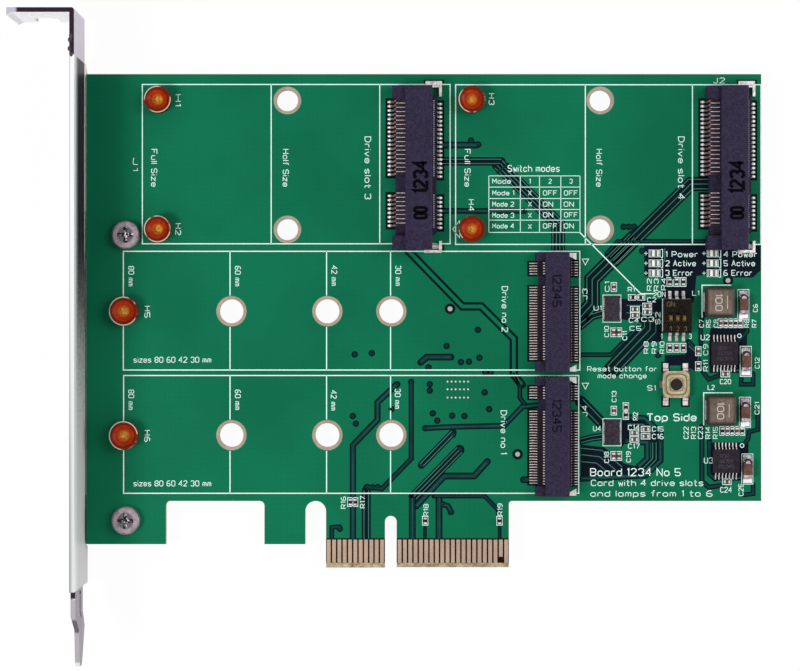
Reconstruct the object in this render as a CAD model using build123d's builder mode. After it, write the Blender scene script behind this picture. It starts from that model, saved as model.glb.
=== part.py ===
import os
from dataclasses import dataclass

from build123d import *

os.makedirs("parts", exist_ok=True)

# Lengths are in millimetres. X runs from the bracket to the card's far end, Y up from the edge
# contacts and Z out of the component side. The origin is on the contact edge, on the key notch's
# centre line, halfway through the board.

# Board outline
BOARD_T = 1.57
BOARD_LEFT = -57.15
BOARD_RIGHT = 69.5
BOARD_TOP = 92.6
SHOULDER_Y = 12.5
FOOT_Y = 4.4
CUTOUT_LEFT = -42.2
CUTOUT_RIGHT = -23.7
CUTOUT_FILLET = 0.9
HOOK_SLOT_LEFT = -16.05
TONGUE_LEFT = -12.15
TONGUE_RIGHT = 22.15
TONGUE_FILLET = 0.6
KEY_W = 2.2
KEY_TOP = 9.7
EDGE_BEVEL_L = 0.9
EDGE_BEVEL_T = 0.35

# Edge contacts
FINGER_PITCH = 1.0
FINGER_W = 0.7
FINGER_L = 4.35
FINGER_FROM_KEY = 1.65
FINGERS_SHORT_SIDE = 11
FINGERS_LONG_SIDE = 21
PRESENCE_FINGER_L = 3.2
COPPER_T = 0.05

# Card positions of the four slots
MSATA_EDGE_X = (4.5, 63.2)
MSATA_CENTRE_Y = 75.55
MSATA_HOLE_SPACING = 24.2
MSATA_FULL = 48.05
MSATA_HALF = 23.9
M2_EDGE_X = 30.1
M2_CENTRE_Y = (24.85, 48.1)
M2_LENGTHS = (60.0, 42.0, 30.0)
M2_FULL = 80.0

# Plated holes
MSATA_HOLE_R = 2.0
MSATA_PAD_R = 2.6
M2_HOLE_R = 2.25
M2_PAD_R = 2.85
PLATING_T = 0.12

# Threaded standoffs
MSATA_STANDOFF_R = 2.5
MSATA_SEAT = 2.6
M2_STANDOFF_R = 2.7
M2_SEAT = 2.45
STANDOFF_THREAD_R = 0.8
STANDOFF_SINK_RIM = 0.45
STANDOFF_SINK_DEPTH = 1.1
STANDOFF_SHANK_R = 1.7
PRESS_GAP = 0.03

# Bracket, cut and folded from one sheet
SHEET_T = 0.86
BRACKET_GAP = 0.25
BRACKET_W = 18.42
BRACKET_DROP = 2.2
BRACKET_TOP = 103.1
BRACKET_BOTTOM = -16.9
PLATE_TOP = 94.6
PLATE_BOTTOM = -3.1
PLATE_CORNER = 1.6
NECK_W = 14.2
FLANGE_REACH = 11.43
FLANGE_LIP = 0.5
BEND_R = 0.5
NOTCH_W = 4.42
NOTCH_REACH = 5.6
NOTCH_DEPTH = 6.0
TAIL_W = 10.19
TAIL_BELOW_PLATE_EDGE = 1.6
TAIL_WAIST = 2.6
TAIL_TIP_W = 3.6
TAIL_TIP_DROP = 0.8
TAIL_TIP_CHAMFER = 0.8
TAIL_JOG = 0.7
TAIL_JOG_Y = -7.6
TAIL_JOG_L = 2.5
TAIL_GROOVE_L = 5.2
TAIL_GROOVE_W = 1.6
TAIL_GROOVE_DEPTH = 0.4
TAIL_GROOVE_Y = -6.0
TAIL_GROOVE_Z = 7.3
TAB_W = 9.0
TAB_REACH = 4.3
TAB_RELIEF = 0.6

# Bracket screws
SCREW_X = -49.65
SCREW_Y = (8.9, 62.4)
SCREW_R = 1.5
SCREW_L = 3.6
SCREW_CLEARANCE = 0.15
TAB_THREAD_GAP = 0.04
SCREW_HEAD_R = 2.65
SCREW_HEAD_H = 1.7
SCREW_DOME = 0.5
RECESS_SPAN = 3.0
RECESS_W = 0.75
RECESS_DEPTH = 1.0

# Reset push switch
RESET_X = 53.4
RESET_Y = 34.4
RESET_SIZE = 5.0
RESET_BASE_H = 1.2
RESET_COVER_T = 0.2
RESET_CROWN = 4.35
RESET_CROWN_H = 0.35
RESET_CROWN_CORNER = 0.95
RESET_CROWN_TAPER = 12
RESET_BUTTON_R = 1.03
RESET_BUTTON_H = 0.75
RESET_TRAVEL = 0.25
RESET_RUNNING_GAP = 0.08
RESET_FLANGE_R = 1.45
RESET_FLANGE_H = 0.3
RESET_LEAD_W = 1.0
RESET_LEAD_SPACING = 3.7
RESET_LEAD_SPAN = 7.9
RESET_LEAD_T = 0.2
RESET_LUG = 0.6

# Three-way slide switch block
DIP_X = 53.6
DIP_Y = 47.2
DIP_W = 5.1
DIP_L = 6.3
DIP_H = 2.4
DIP_WAYS = 3
DIP_PITCH = 1.27
DIP_WELL_W = 0.86
DIP_WELL_L = 2.1
DIP_WELL_DEPTH = 1.1
DIP_SLIDER_GAP = 0.05
DIP_SLIDER_L = 1.1
DIP_SLIDER_H = 0.45
DIP_KNOB_W = 0.55
DIP_KNOB_L = 0.6
DIP_KNOB_BELOW_TOP = 0.1
DIP_LEAD_W = 0.6
DIP_LEAD_SPAN = 9.4
DIP_LEAD_T = 0.2
DIP_LEAD_RISE = 0.9
TAPE_T = 0.06
TAPE_OVERHANG = 0.1

# Regulator blocks, each with an inductor, a chip, two large capacitors and small parts
REGULATOR_SHIFTS = ((0.0, 0.0), (0.3, -20.2))
INDUCTOR_AT = (61.5, 49.8)
INDUCTOR_W = 5.3
INDUCTOR_L = 5.6
INDUCTOR_H = 2.8
INDUCTOR_CORNER = 0.6
INDUCTOR_EDGE = 0.3
INDUCTOR_FOOT_W = 3.6
INDUCTOR_FOOT_L = 1.6
INDUCTOR_FOOT_REACH = 0.2
INDUCTOR_FOOT_T = 0.15
LARGE_CAP_AT = ((66.15, 49.35), (66.6, 38.7))
LARGE_CAP_L = 3.2
LARGE_CAP_W = 1.65
LARGE_CAP_H = 1.5
LARGE_CAP_END = 0.5
SOLDER_REACH = 1.0
SOLDER_H = 0.35
DRIVER_AT = (62.55, 40.2)
DRIVER_W = 5.0
DRIVER_L = 4.4
DRIVER_H = 1.0
DRIVER_STANDOFF = 0.1
DRIVER_PITCH = 0.65
DRIVER_PINS = 7
DRIVER_PIN_W = 0.26
DRIVER_PIN_SPAN = 6.9
LEAD_T = 0.15
SMALL_ROW_AT = (63.75, 45.85)
SMALL_ROW_PITCH = 0.91
SMALL_ROW_COUNT = 5
LOWER_CAP_AT = (62.75, 36.3)

# Signal chips with no leads, each with three capacitors beside it
SIGNAL_CHIP_X = 41.5
SIGNAL_CHIP_Y = (48.6, 25.4)
SIGNAL_CHIP_W = 2.8
SIGNAL_CHIP_L = 4.5
SIGNAL_CHIP_H = 0.75
SIGNAL_PAD_PITCH = 0.4
SIGNAL_PADS = 9
SIGNAL_PAD_W = 0.2
SIGNAL_PAD_REACH = 0.25
SIGNAL_CAPS = ((0.35, 4.05), (0.3, -4.45), (1.3, -4.45))

# Small chip parts
SMALL_L = 1.2
SMALL_W = 0.58
SMALL_H = 0.4
SMALL_END = 0.32
SWITCH_RESISTOR_OFFSETS = (6.4, -5.95)
LONE_CAPS_UPRIGHT = ((57.7, 40.6),)
LONE_RESISTORS_UPRIGHT = ((57.7, 37.8), (44.1, 28.65), (-7.6, 12.3), (-6.7, 12.3), (6.45, 8.8), (20.4, 8.8))
LONE_RESISTORS_ACROSS = ((45.4, 50.7),)
LONE_CAPS_ACROSS = ((48.1, 49.1), (48.1, 47.95), (45.8, 48.5), (45.8, 47.35),
                    (47.8, 26.0), (47.8, 24.65), (45.7, 25.3), (45.7, 24.05))

# Status lamps
LAMP_X = (49.5, 60.4)
LAMP_Y = 57.1
LAMPS_EACH = 3
LAMP_PITCH = 1.86
LAMP_L = 1.9
LAMP_W = 1.1
LAMP_BASE_H = 0.25
LAMP_LENS_L = 1.35
LAMP_LENS_H = 0.4
LAMP_LENS_DRAFT = 0.15

# Back of the board: controller, crystal, memory and their capacitors
CONTROLLER_AT = (12.5, 33.4)
CONTROLLER_SIZE = 9.0
CONTROLLER_H = 0.85
CONTROLLER_PADS = 19
CONTROLLER_PAD_PITCH = 0.4
CRYSTAL_AT = (21.6, 36.4)
CRYSTAL_W = 3.2
CRYSTAL_L = 2.5
CRYSTAL_H = 0.7
CRYSTAL_LID_INSET = 0.3
CRYSTAL_LID_H = 0.15
MEMORY_AT = (22.4, 29.8)
MEMORY_W = 4.9
MEMORY_L = 3.9
MEMORY_H = 1.4
MEMORY_PITCH = 1.27
MEMORY_PINS = 4
MEMORY_PIN_W = 0.4
MEMORY_PIN_SPAN = 6.0
BACK_CAP_GAP = 1.6
BACK_CAPS_EACH_SIDE = 3
BACK_CAP_PITCH = 2.6

FRONT = BOARD_T / 2
BACK = -BOARD_T / 2


@dataclass
class Socket:
    """Sizes of an edge socket whose mouth faces -X. X is measured from the card's inner edge."""
    mouth: float
    ears: float
    rear: float
    ledge: float
    height: float
    ear_height: float
    above: float
    below: float
    ear_above: float
    ear_below: float
    seat: float
    card_t: float
    slot_depth: float
    card_w: float
    pitch: float
    front_rows: tuple
    rear_rows: tuple
    front_first: float
    rear_first: float
    key: float
    key_w: float
    contact_w: float
    missing: int
    top_r: float
    front_foot: float
    front_shoulder: float
    rear_foot: float


MSATA = Socket(
    mouth=1.77, ears=4.24, rear=3.25, ledge=0.8, height=5.2, ear_height=3.9,
    above=14.45, below=16.0, ear_above=2.3, ear_below=2.6,
    seat=MSATA_SEAT, card_t=1.2, slot_depth=2.9, card_w=26.0,
    pitch=0.8, front_rows=(18, 8), rear_rows=(18, 8), front_first=11.8, rear_first=11.4,
    key=-4.0, key_w=1.5, contact_w=0.36, missing=4, top_r=0.3, front_foot=5.1, front_shoulder=3.95, rear_foot=5.15)

M2 = Socket(
    mouth=1.31, ears=3.08, rear=3.2, ledge=0.3, height=4.2, ear_height=3.0,
    above=10.9, below=11.3, ear_above=1.5, ear_below=1.9,
    seat=M2_SEAT, card_t=1.0, slot_depth=2.6, card_w=19.85,
    pitch=0.5, front_rows=(5, 28), rear_rows=(6, 28), front_first=9.0, rear_first=9.25,
    key=5.6, key_w=1.2, contact_w=0.24, missing=4, top_r=0.3, front_foot=4.1, front_shoulder=2.75, rear_foot=5.0)


# Hold-downs: angle clips on the mSATA sockets, slanted plates on the M.2 sockets
CLIP_HOLD = 1.5
CLIP_REACH = 1.8
CLIP_T = 0.5
CLIP_L = 2.2
CLIP_H = 1.1
PLATE_REACH = 1.5
PLATE_L = 1.3
PLATE_SLANT = 0.4
PLATE_H = 0.5


def save(piece, name):
    """Label a finished piece and write its STEP file."""
    piece.part.label = name
    export_step(piece.part, f"parts/{name}.step")


def row(first, count, pitch):
    """Y places of one row of contacts, running downwards from its first contact."""
    return [first - n * pitch for n in range(count)]


def contact_rows(first, rows, size):
    """Y places of the two groups of contacts either side of a socket's key."""
    places = row(first, rows[0], size.pitch)
    return places + row(first - (rows[0] + size.missing) * size.pitch, rows[1], size.pitch)


def spread(count, pitch):
    """Offsets of a centred row."""
    return [(n - (count - 1) / 2) * pitch for n in range(count)]


STANDOFFS_MSATA = [(edge - MSATA_FULL, MSATA_CENTRE_Y + side * MSATA_HOLE_SPACING / 2)
                   for edge in MSATA_EDGE_X for side in (1, -1)]
STANDOFFS_M2 = [(M2_EDGE_X - M2_FULL, y) for y in M2_CENTRE_Y]
HOLES_MSATA = [(edge - MSATA_HALF, MSATA_CENTRE_Y + side * MSATA_HOLE_SPACING / 2)
               for edge in MSATA_EDGE_X for side in (1, -1)]
HOLES_M2 = [(M2_EDGE_X - length, y) for length in M2_LENGTHS for y in M2_CENTRE_Y]
SCREWS = [(SCREW_X, y) for y in SCREW_Y]
KEY_R = KEY_W / 2
HOOK_SLOT_R = (TONGUE_LEFT - HOOK_SLOT_LEFT) / 2
HOOK_SLOT_X = (TONGUE_LEFT + HOOK_SLOT_LEFT) / 2


# Circuit board
with BuildPart() as circuit_board:
    with BuildSketch(Plane.XY.offset(BACK)) as outline:
        with Locations((BOARD_LEFT, SHOULDER_Y)):
            Rectangle(BOARD_RIGHT - BOARD_LEFT, BOARD_TOP - SHOULDER_Y, align=(Align.MIN, Align.MIN))
        with Locations((BOARD_LEFT, FOOT_Y)):
            Rectangle(CUTOUT_LEFT - BOARD_LEFT, SHOULDER_Y - FOOT_Y, align=(Align.MIN, Align.MIN))
        with Locations((CUTOUT_RIGHT, FOOT_Y)):
            Rectangle(HOOK_SLOT_X - CUTOUT_RIGHT, SHOULDER_Y - FOOT_Y, align=(Align.MIN, Align.MIN))
        with Locations((HOOK_SLOT_X, 0)):
            Rectangle(TONGUE_RIGHT - HOOK_SLOT_X, SHOULDER_Y, align=(Align.MIN, Align.MIN))
        with Locations((HOOK_SLOT_X, SHOULDER_Y - HOOK_SLOT_R)):
            Circle(HOOK_SLOT_R, mode=Mode.SUBTRACT)
        with Locations((HOOK_SLOT_X, 0)):
            Rectangle(2 * HOOK_SLOT_R, SHOULDER_Y - HOOK_SLOT_R, align=(Align.CENTER, Align.MIN),
                      mode=Mode.SUBTRACT)
        with Locations((0, KEY_TOP - KEY_R)):
            Circle(KEY_R, mode=Mode.SUBTRACT)
        Rectangle(KEY_W, KEY_TOP - KEY_R, align=(Align.CENTER, Align.MIN), mode=Mode.SUBTRACT)
        inner_corners = outline.vertices().filter_by(
            lambda v: abs(v.Y - SHOULDER_Y) < 0.01 and CUTOUT_LEFT - 0.01 < v.X < CUTOUT_RIGHT + 0.01)
        fillet(inner_corners, CUTOUT_FILLET)
        tongue_corner = outline.vertices().filter_by(
            lambda v: abs(v.Y - SHOULDER_Y) < 0.01 and abs(v.X - TONGUE_RIGHT) < 0.01)
        fillet(tongue_corner, TONGUE_FILLET)
    extrude(amount=BOARD_T)
    for side in (-1, 1):
        tip = circuit_board.faces().filter_by(Axis.Y).group_by(Axis.Y)[0].sort_by(Axis.X)[side]
        chamfer(tip.edges().filter_by(Axis.X), EDGE_BEVEL_T, EDGE_BEVEL_L, reference=tip)
    with Locations(*[(x, y, FRONT) for x, y in HOLES_MSATA]):
        Hole(MSATA_HOLE_R + PLATING_T)
    with Locations(*[(x, y, FRONT) for x, y in HOLES_M2]):
        Hole(M2_HOLE_R + PLATING_T)
    with Locations(*[(x, y, FRONT) for x, y in STANDOFFS_MSATA + STANDOFFS_M2]):
        Hole(STANDOFF_SHANK_R + PRESS_GAP)
    with Locations(*[(x, y, FRONT) for x, y in SCREWS]):
        Hole(SCREW_R + SCREW_CLEARANCE)
save(circuit_board, "circuit_board")


# Edge contacts, the same rows on both faces
def edge_contacts(face_z, grows, presence):
    """One face's contacts. The presence contact, last but one, is the short one on one face."""
    xs = [-FINGER_FROM_KEY - n * FINGER_PITCH for n in range(FINGERS_SHORT_SIDE)]
    xs += [FINGER_FROM_KEY + n * FINGER_PITCH for n in range(FINGERS_LONG_SIDE)]
    finger_top = EDGE_BEVEL_L + FINGER_L
    with BuildPart() as contacts:
        with BuildSketch(Plane.XY.offset(face_z)):
            for x in xs:
                short = presence and x == xs[-2]
                length = PRESENCE_FINGER_L if short else FINGER_L
                with Locations((x, finger_top)):
                    Rectangle(FINGER_W, length, align=(Align.CENTER, Align.MAX))
        extrude(amount=grows)
    return contacts


edge_contacts_front = edge_contacts(FRONT, COPPER_T, True)
save(edge_contacts_front, "edge_contacts_front")
edge_contacts_back = edge_contacts(BACK, -COPPER_T, False)
save(edge_contacts_back, "edge_contacts_back")


# Plated holes: a barrel with a ring on each face
def plated_holes(places, hole_r, pad_r):
    """Eyelets at the given places."""
    with BuildPart() as eyelet:
        with BuildSketch(Plane.XZ):
            with Locations(((hole_r + hole_r + PLATING_T) / 2, 0)):
                Rectangle(PLATING_T, BOARD_T + 2 * COPPER_T)
            for side in (1, -1):
                with Locations(((hole_r + pad_r) / 2, side * (BOARD_T + COPPER_T) / 2)):
                    Rectangle(pad_r - hole_r, COPPER_T)
        revolve(axis=Axis.Z)
    with BuildPart() as eyelets:
        with Locations(*[(x, y, 0) for x, y in places]):
            add(eyelet.part)
    return eyelets


msata_plated_holes = plated_holes(HOLES_MSATA, MSATA_HOLE_R, MSATA_PAD_R)
save(msata_plated_holes, "msata_plated_holes")
m2_plated_holes = plated_holes(HOLES_M2, M2_HOLE_R, M2_PAD_R)
save(m2_plated_holes, "m2_plated_holes")


# Threaded standoffs, pressed into the board from the component side
def standoffs(places, body_r, seat):
    """Round standoffs with a countersunk thread and a shank through the board."""
    rim = body_r - STANDOFF_SINK_RIM
    with BuildPart() as standoff:
        with BuildSketch(Plane.XZ):
            with BuildLine():
                Polyline((STANDOFF_THREAD_R, BACK), (STANDOFF_SHANK_R, BACK), (STANDOFF_SHANK_R, FRONT),
                         (body_r, FRONT), (body_r, FRONT + seat), (rim, FRONT + seat),
                         (STANDOFF_THREAD_R, FRONT + seat - STANDOFF_SINK_DEPTH), close=True)
            make_face()
        revolve(axis=Axis.Z)
    with BuildPart() as group:
        with Locations(*[(x, y, 0) for x, y in places]):
            add(standoff.part)
    return group


msata_standoffs = standoffs(STANDOFFS_MSATA, MSATA_STANDOFF_R, MSATA_SEAT)
save(msata_standoffs, "msata_standoffs")
m2_standoffs = standoffs(STANDOFFS_M2, M2_STANDOFF_R, M2_SEAT)
save(m2_standoffs, "m2_standoffs")


# Bracket: plate, neck, flange, tail and two tabs behind the board
INNER_X = BOARD_LEFT - BRACKET_GAP
OUTER_X = INNER_X - SHEET_T
PLATE_LOW = BACK - BRACKET_DROP
PLATE_HIGH = PLATE_LOW + BRACKET_W
NECK_LOW = PLATE_HIGH - NECK_W
TAIL_HIGH = PLATE_HIGH - TAIL_BELOW_PLATE_EDGE
TAIL_LOW = TAIL_HIGH - TAIL_W
TIP_HIGH = TAIL_HIGH - TAIL_TIP_DROP
TIP_LOW = TIP_HIGH - TAIL_TIP_W
FLANGE_TIP_X = OUTER_X - FLANGE_REACH
TAB_END_X = SCREW_X + TAB_REACH
NOTCH_X = OUTER_X - NOTCH_REACH

with BuildPart() as bracket:
    # Plate and neck, drawn on the inner face and thickened outwards
    with BuildSketch(Plane.YZ.offset(OUTER_X)):
        with Locations((PLATE_BOTTOM, PLATE_LOW)):
            Rectangle(PLATE_TOP - PLATE_BOTTOM, BRACKET_W, align=(Align.MIN, Align.MIN))
        chamfer(vertices().sort_by(Axis.Y)[:2].sort_by(Axis.Z)[:1], PLATE_CORNER)
        with Locations((PLATE_TOP, NECK_LOW)):
            Rectangle(BRACKET_TOP - PLATE_TOP, NECK_W, align=(Align.MIN, Align.MIN))
    extrude(amount=SHEET_T)
    # Flange, folded outwards at the top, with its tip turned down a little
    with BuildSketch(Plane.XY.offset(NECK_LOW)):
        with BuildLine():
            Polyline((INNER_X, BRACKET_TOP - SHEET_T), (INNER_X, BRACKET_TOP), (FLANGE_TIP_X, BRACKET_TOP),
                     (FLANGE_TIP_X, BRACKET_TOP - SHEET_T - FLANGE_LIP),
                     (FLANGE_TIP_X + SHEET_T, BRACKET_TOP - SHEET_T), close=True)
        make_face()
    extrude(amount=NECK_W)
    fillet(bracket.edges().filter_by(Axis.Z).filter_by(
        lambda e: abs(e.center().X - INNER_X) < 0.01 and abs(e.center().Y - BRACKET_TOP) < 0.01), BEND_R)
    with BuildSketch(Plane.XZ.offset(-BRACKET_TOP)):
        with Locations((NOTCH_X, NECK_LOW + NOTCH_DEPTH - NOTCH_W / 2)):
            Circle(NOTCH_W / 2)
        with Locations((NOTCH_X, NECK_LOW)):
            Rectangle(NOTCH_W, NOTCH_DEPTH - NOTCH_W / 2, align=(Align.CENTER, Align.MIN))
    extrude(amount=SHEET_T + FLANGE_LIP, mode=Mode.SUBTRACT)
    # Tail: the side view gives its jog, and the front view its taper and its stiffening groove
    with BuildSketch(Plane.XY.offset(TAIL_LOW)):
        with BuildLine():
            Polyline((OUTER_X, PLATE_BOTTOM), (OUTER_X, TAIL_JOG_Y), (OUTER_X + TAIL_JOG, TAIL_JOG_Y - TAIL_JOG_L),
                     (OUTER_X + TAIL_JOG, BRACKET_BOTTOM), (INNER_X + TAIL_JOG, BRACKET_BOTTOM),
                     (INNER_X + TAIL_JOG, TAIL_JOG_Y - TAIL_JOG_L), (INNER_X, TAIL_JOG_Y),
                     (INNER_X, PLATE_BOTTOM), close=True)
        make_face()
    extrude(amount=TAIL_W)
    with BuildSketch(Plane.YZ.offset(OUTER_X)):
        with BuildLine():
            Polyline((TAIL_JOG_Y, TAIL_LOW), (TAIL_JOG_Y - TAIL_JOG_L, TAIL_LOW + TAIL_WAIST),
                     (BRACKET_BOTTOM + TAIL_TIP_CHAMFER, TIP_LOW), (BRACKET_BOTTOM, TIP_LOW + TAIL_TIP_CHAMFER),
                     (BRACKET_BOTTOM, TAIL_LOW), close=True)
        make_face()
        with BuildLine():
            Polyline((TAIL_JOG_Y - TAIL_JOG_L, TAIL_HIGH), (BRACKET_BOTTOM + TAIL_TIP_CHAMFER, TIP_HIGH),
                     (BRACKET_BOTTOM, TIP_HIGH - TAIL_TIP_CHAMFER), (BRACKET_BOTTOM, TAIL_HIGH), close=True)
        make_face()
    extrude(amount=SHEET_T + TAIL_JOG, mode=Mode.SUBTRACT)
    with BuildSketch(Plane.YZ.offset(INNER_X - TAIL_GROOVE_DEPTH)):
        with Locations((TAIL_GROOVE_Y, TAIL_GROOVE_Z)):
            SlotOverall(TAIL_GROOVE_L, TAIL_GROOVE_W)
    extrude(amount=TAIL_GROOVE_DEPTH + TAIL_JOG, mode=Mode.SUBTRACT)
    # Reliefs in the plate's edge, and the tabs folded in from it
    with BuildSketch(Plane.YZ.offset(OUTER_X)):
        with Locations(*[(y, PLATE_LOW) for y in SCREW_Y]):
            Rectangle(TAB_W + 2 * TAB_RELIEF, BRACKET_DROP - SHEET_T, align=(Align.CENTER, Align.MIN))
    extrude(amount=SHEET_T, mode=Mode.SUBTRACT)
    with BuildSketch(Plane.XY.offset(BACK - SHEET_T)):
        for y in SCREW_Y:
            with Locations((OUTER_X, y)):
                Rectangle(TAB_END_X - OUTER_X - TAB_W / 2, TAB_W, align=(Align.MIN, Align.CENTER))
            with Locations((TAB_END_X - TAB_W / 2, y)):
                Circle(TAB_W / 2)
    extrude(amount=SHEET_T)
    with Locations(*[(x, y, BACK) for x, y in SCREWS]):
        Hole(SCREW_R + TAB_THREAD_GAP, depth=SHEET_T)
save(bracket, "bracket")


# Bracket screws, cross-recessed, through the board and into the tabs
with BuildPart() as bracket_screw:
    with BuildSketch(Plane.XZ):
        with BuildLine():
            Polyline((0, FRONT - SCREW_L), (SCREW_R, FRONT - SCREW_L), (SCREW_R, FRONT),
                     (SCREW_HEAD_R, FRONT), (SCREW_HEAD_R, FRONT + SCREW_HEAD_H),
                     (0, FRONT + SCREW_HEAD_H), close=True)
        make_face()
    revolve(axis=Axis.Z)
    fillet(bracket_screw.edges().group_by(Axis.Z)[-1], SCREW_DOME)
    with BuildSketch(Plane.XY.offset(FRONT + SCREW_HEAD_H)):
        Rectangle(RECESS_SPAN, RECESS_W)
        Rectangle(RECESS_W, RECESS_SPAN)
    extrude(amount=-RECESS_DEPTH, mode=Mode.SUBTRACT)
with BuildPart() as bracket_screws:
    with Locations(*[(x, y, 0) for x, y in SCREWS]):
        add(bracket_screw.part)
save(bracket_screws, "bracket_screws")


# Edge sockets
def socket_housing(size, edge, centre):
    """Moulded housing: a tall block with the card slot, two ears, a low front lip and a rear ledge."""
    mouth = edge - size.mouth
    front = edge - size.ears
    rear = edge + size.rear
    top = centre + size.above
    bottom = centre - size.below
    lip_front = edge - size.front_shoulder + 2 * LEAD_T
    lip_height = size.seat - 3 * LEAD_T
    with BuildPart() as housing:
        with BuildSketch(Plane.XY.offset(FRONT)):
            with Locations((mouth, bottom)):
                Rectangle(rear - mouth, top - bottom, align=(Align.MIN, Align.MIN))
        extrude(amount=size.height)
        fillet(housing.edges().filter_by(Axis.Y).sort_by(Axis.Z)[-1], size.top_r)
        # Ears that guide the card's edges
        with BuildSketch(Plane.XY.offset(FRONT)):
            with Locations((front, top)):
                Rectangle(mouth - front, size.ear_above, align=(Align.MIN, Align.MAX))
            with Locations((front, bottom)):
                Rectangle(mouth - front, size.ear_below, align=(Align.MIN, Align.MIN))
        extrude(amount=size.ear_height)
        # Lip under the contacts, and the ledge over their rear feet
        with BuildSketch(Plane.XY.offset(FRONT)):
            with Locations((lip_front, bottom + size.ear_below)):
                Rectangle(mouth - lip_front, top - bottom - size.ear_above - size.ear_below,
                          align=(Align.MIN, Align.MIN))
        extrude(amount=lip_height)
        with BuildSketch(Plane.XY.offset(FRONT)):
            with Locations((rear, centre)):
                Rectangle(size.ledge, top - bottom - 2 * size.ear_above, align=(Align.MIN, Align.CENTER))
        extrude(amount=size.height / 2)
        # Card slot, interrupted by the key rib
        with BuildSketch(Plane.XY.offset(FRONT + size.seat)):
            with Locations((mouth, centre)):
                Rectangle(size.slot_depth, size.card_w, align=(Align.MIN, Align.CENTER))
            with Locations((mouth, centre + size.key)):
                Rectangle(size.slot_depth, size.key_w, align=(Align.MIN, Align.CENTER), mode=Mode.SUBTRACT)
        extrude(amount=size.card_t, mode=Mode.SUBTRACT)
    return housing


def socket_contacts(size, edge, centre):
    """Bent contacts: the front row lies on the lip and enters the slot, the rear row leaves the back."""
    lip_height = size.seat - 3 * LEAD_T
    foot = edge - size.front_foot
    shoulder = edge - size.front_shoulder
    inside = edge - size.mouth
    rear = edge + size.rear + size.ledge
    rear_foot = edge + size.rear_foot
    rear_height = size.height / 2
    with BuildPart() as front_contact:
        with BuildSketch(Plane.XZ.offset(-size.contact_w / 2)):
            with BuildLine():
                Polyline((foot, FRONT), (shoulder + LEAD_T, FRONT), (shoulder + 2 * LEAD_T, FRONT + lip_height),
                         (inside, FRONT + lip_height), (inside, FRONT + lip_height + LEAD_T),
                         (shoulder + LEAD_T, FRONT + lip_height + LEAD_T), (shoulder, FRONT + LEAD_T),
                         (foot, FRONT + LEAD_T), close=True)
            make_face()
        extrude(amount=size.contact_w)
    with BuildPart() as rear_contact:
        with BuildSketch(Plane.XZ.offset(-size.contact_w / 2)):
            with BuildLine():
                Polyline((rear_foot, FRONT), (rear + LEAD_T, FRONT), (rear, FRONT + LEAD_T),
                         (rear, FRONT + rear_height), (rear + LEAD_T, FRONT + rear_height),
                         (rear + 2 * LEAD_T, FRONT + LEAD_T), (rear_foot, FRONT + LEAD_T), close=True)
            make_face()
        extrude(amount=size.contact_w)
    front_ys = contact_rows(centre + size.front_first, size.front_rows, size)
    rear_ys = contact_rows(centre + size.rear_first, size.rear_rows, size)
    with BuildPart() as contacts:
        with Locations(*[(0, y, 0) for y in front_ys]):
            add(front_contact.part)
        with Locations(*[(0, y, 0) for y in rear_ys]):
            add(rear_contact.part)
    return contacts


def msata_hold_downs(edge, centre):
    """Two angle clips at the rear corners of an mSATA socket."""
    size = MSATA
    rear = edge + size.rear
    with BuildPart() as clips:
        with BuildSketch(Plane.XY.offset(FRONT)):
            for y, side in ((centre + size.above, 1), (centre - size.below, -1)):
                with Locations((rear - CLIP_HOLD, y)):
                    Rectangle(CLIP_HOLD + CLIP_REACH, CLIP_T,
                              align=(Align.MIN, Align.MIN if side > 0 else Align.MAX))
                with Locations((rear + CLIP_REACH, y + side * CLIP_T)):
                    Rectangle(CLIP_T, CLIP_L, align=(Align.MAX, Align.MAX if side > 0 else Align.MIN))
        extrude(amount=CLIP_H)
    return clips


def m2_hold_downs(edge, centre):
    """Two three-cornered solder plates at the rear corners of an M.2 socket."""
    size = M2
    rear = edge + size.rear
    with BuildPart() as clips:
        with BuildSketch(Plane.XY.offset(FRONT)):
            for y, side in ((centre + size.above, 1), (centre - size.below, -1)):
                with BuildLine():
                    Polyline((rear, y), (rear + PLATE_REACH, y), (rear + PLATE_REACH, y - side * PLATE_L),
                             (rear, y - side * PLATE_L * PLATE_SLANT), close=True)
                make_face()
        extrude(amount=PLATE_H)
    return clips


for number, edge_x in enumerate(MSATA_EDGE_X, 1):
    save(socket_housing(MSATA, edge_x, MSATA_CENTRE_Y), f"msata_{number}_housing")
    save(socket_contacts(MSATA, edge_x, MSATA_CENTRE_Y), f"msata_{number}_contacts")
    save(msata_hold_downs(edge_x, MSATA_CENTRE_Y), f"msata_{number}_hold_downs")
for number, centre_y in enumerate(M2_CENTRE_Y, 1):
    save(socket_housing(M2, M2_EDGE_X, centre_y), f"m2_{number}_housing")
    save(socket_contacts(M2, M2_EDGE_X, centre_y), f"m2_{number}_contacts")
    save(m2_hold_downs(M2_EDGE_X, centre_y), f"m2_{number}_hold_downs")


# Reset push switch
CROWN_INSET = (RESET_SIZE - RESET_CROWN) / 2
COVER_Z = FRONT + RESET_BASE_H
CROWN_Z = COVER_Z + RESET_COVER_T + RESET_CROWN_H
BUTTON_HOLE_R = RESET_BUTTON_R + RESET_RUNNING_GAP
WELL_R = RESET_FLANGE_R + RESET_RUNNING_GAP
FLANGE_Z = CROWN_Z - RESET_COVER_T - RESET_RUNNING_GAP - RESET_FLANGE_H
WELL_FLOOR_Z = FLANGE_Z - RESET_TRAVEL - RESET_RUNNING_GAP
RESET_AT = (RESET_X, RESET_Y)

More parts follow.
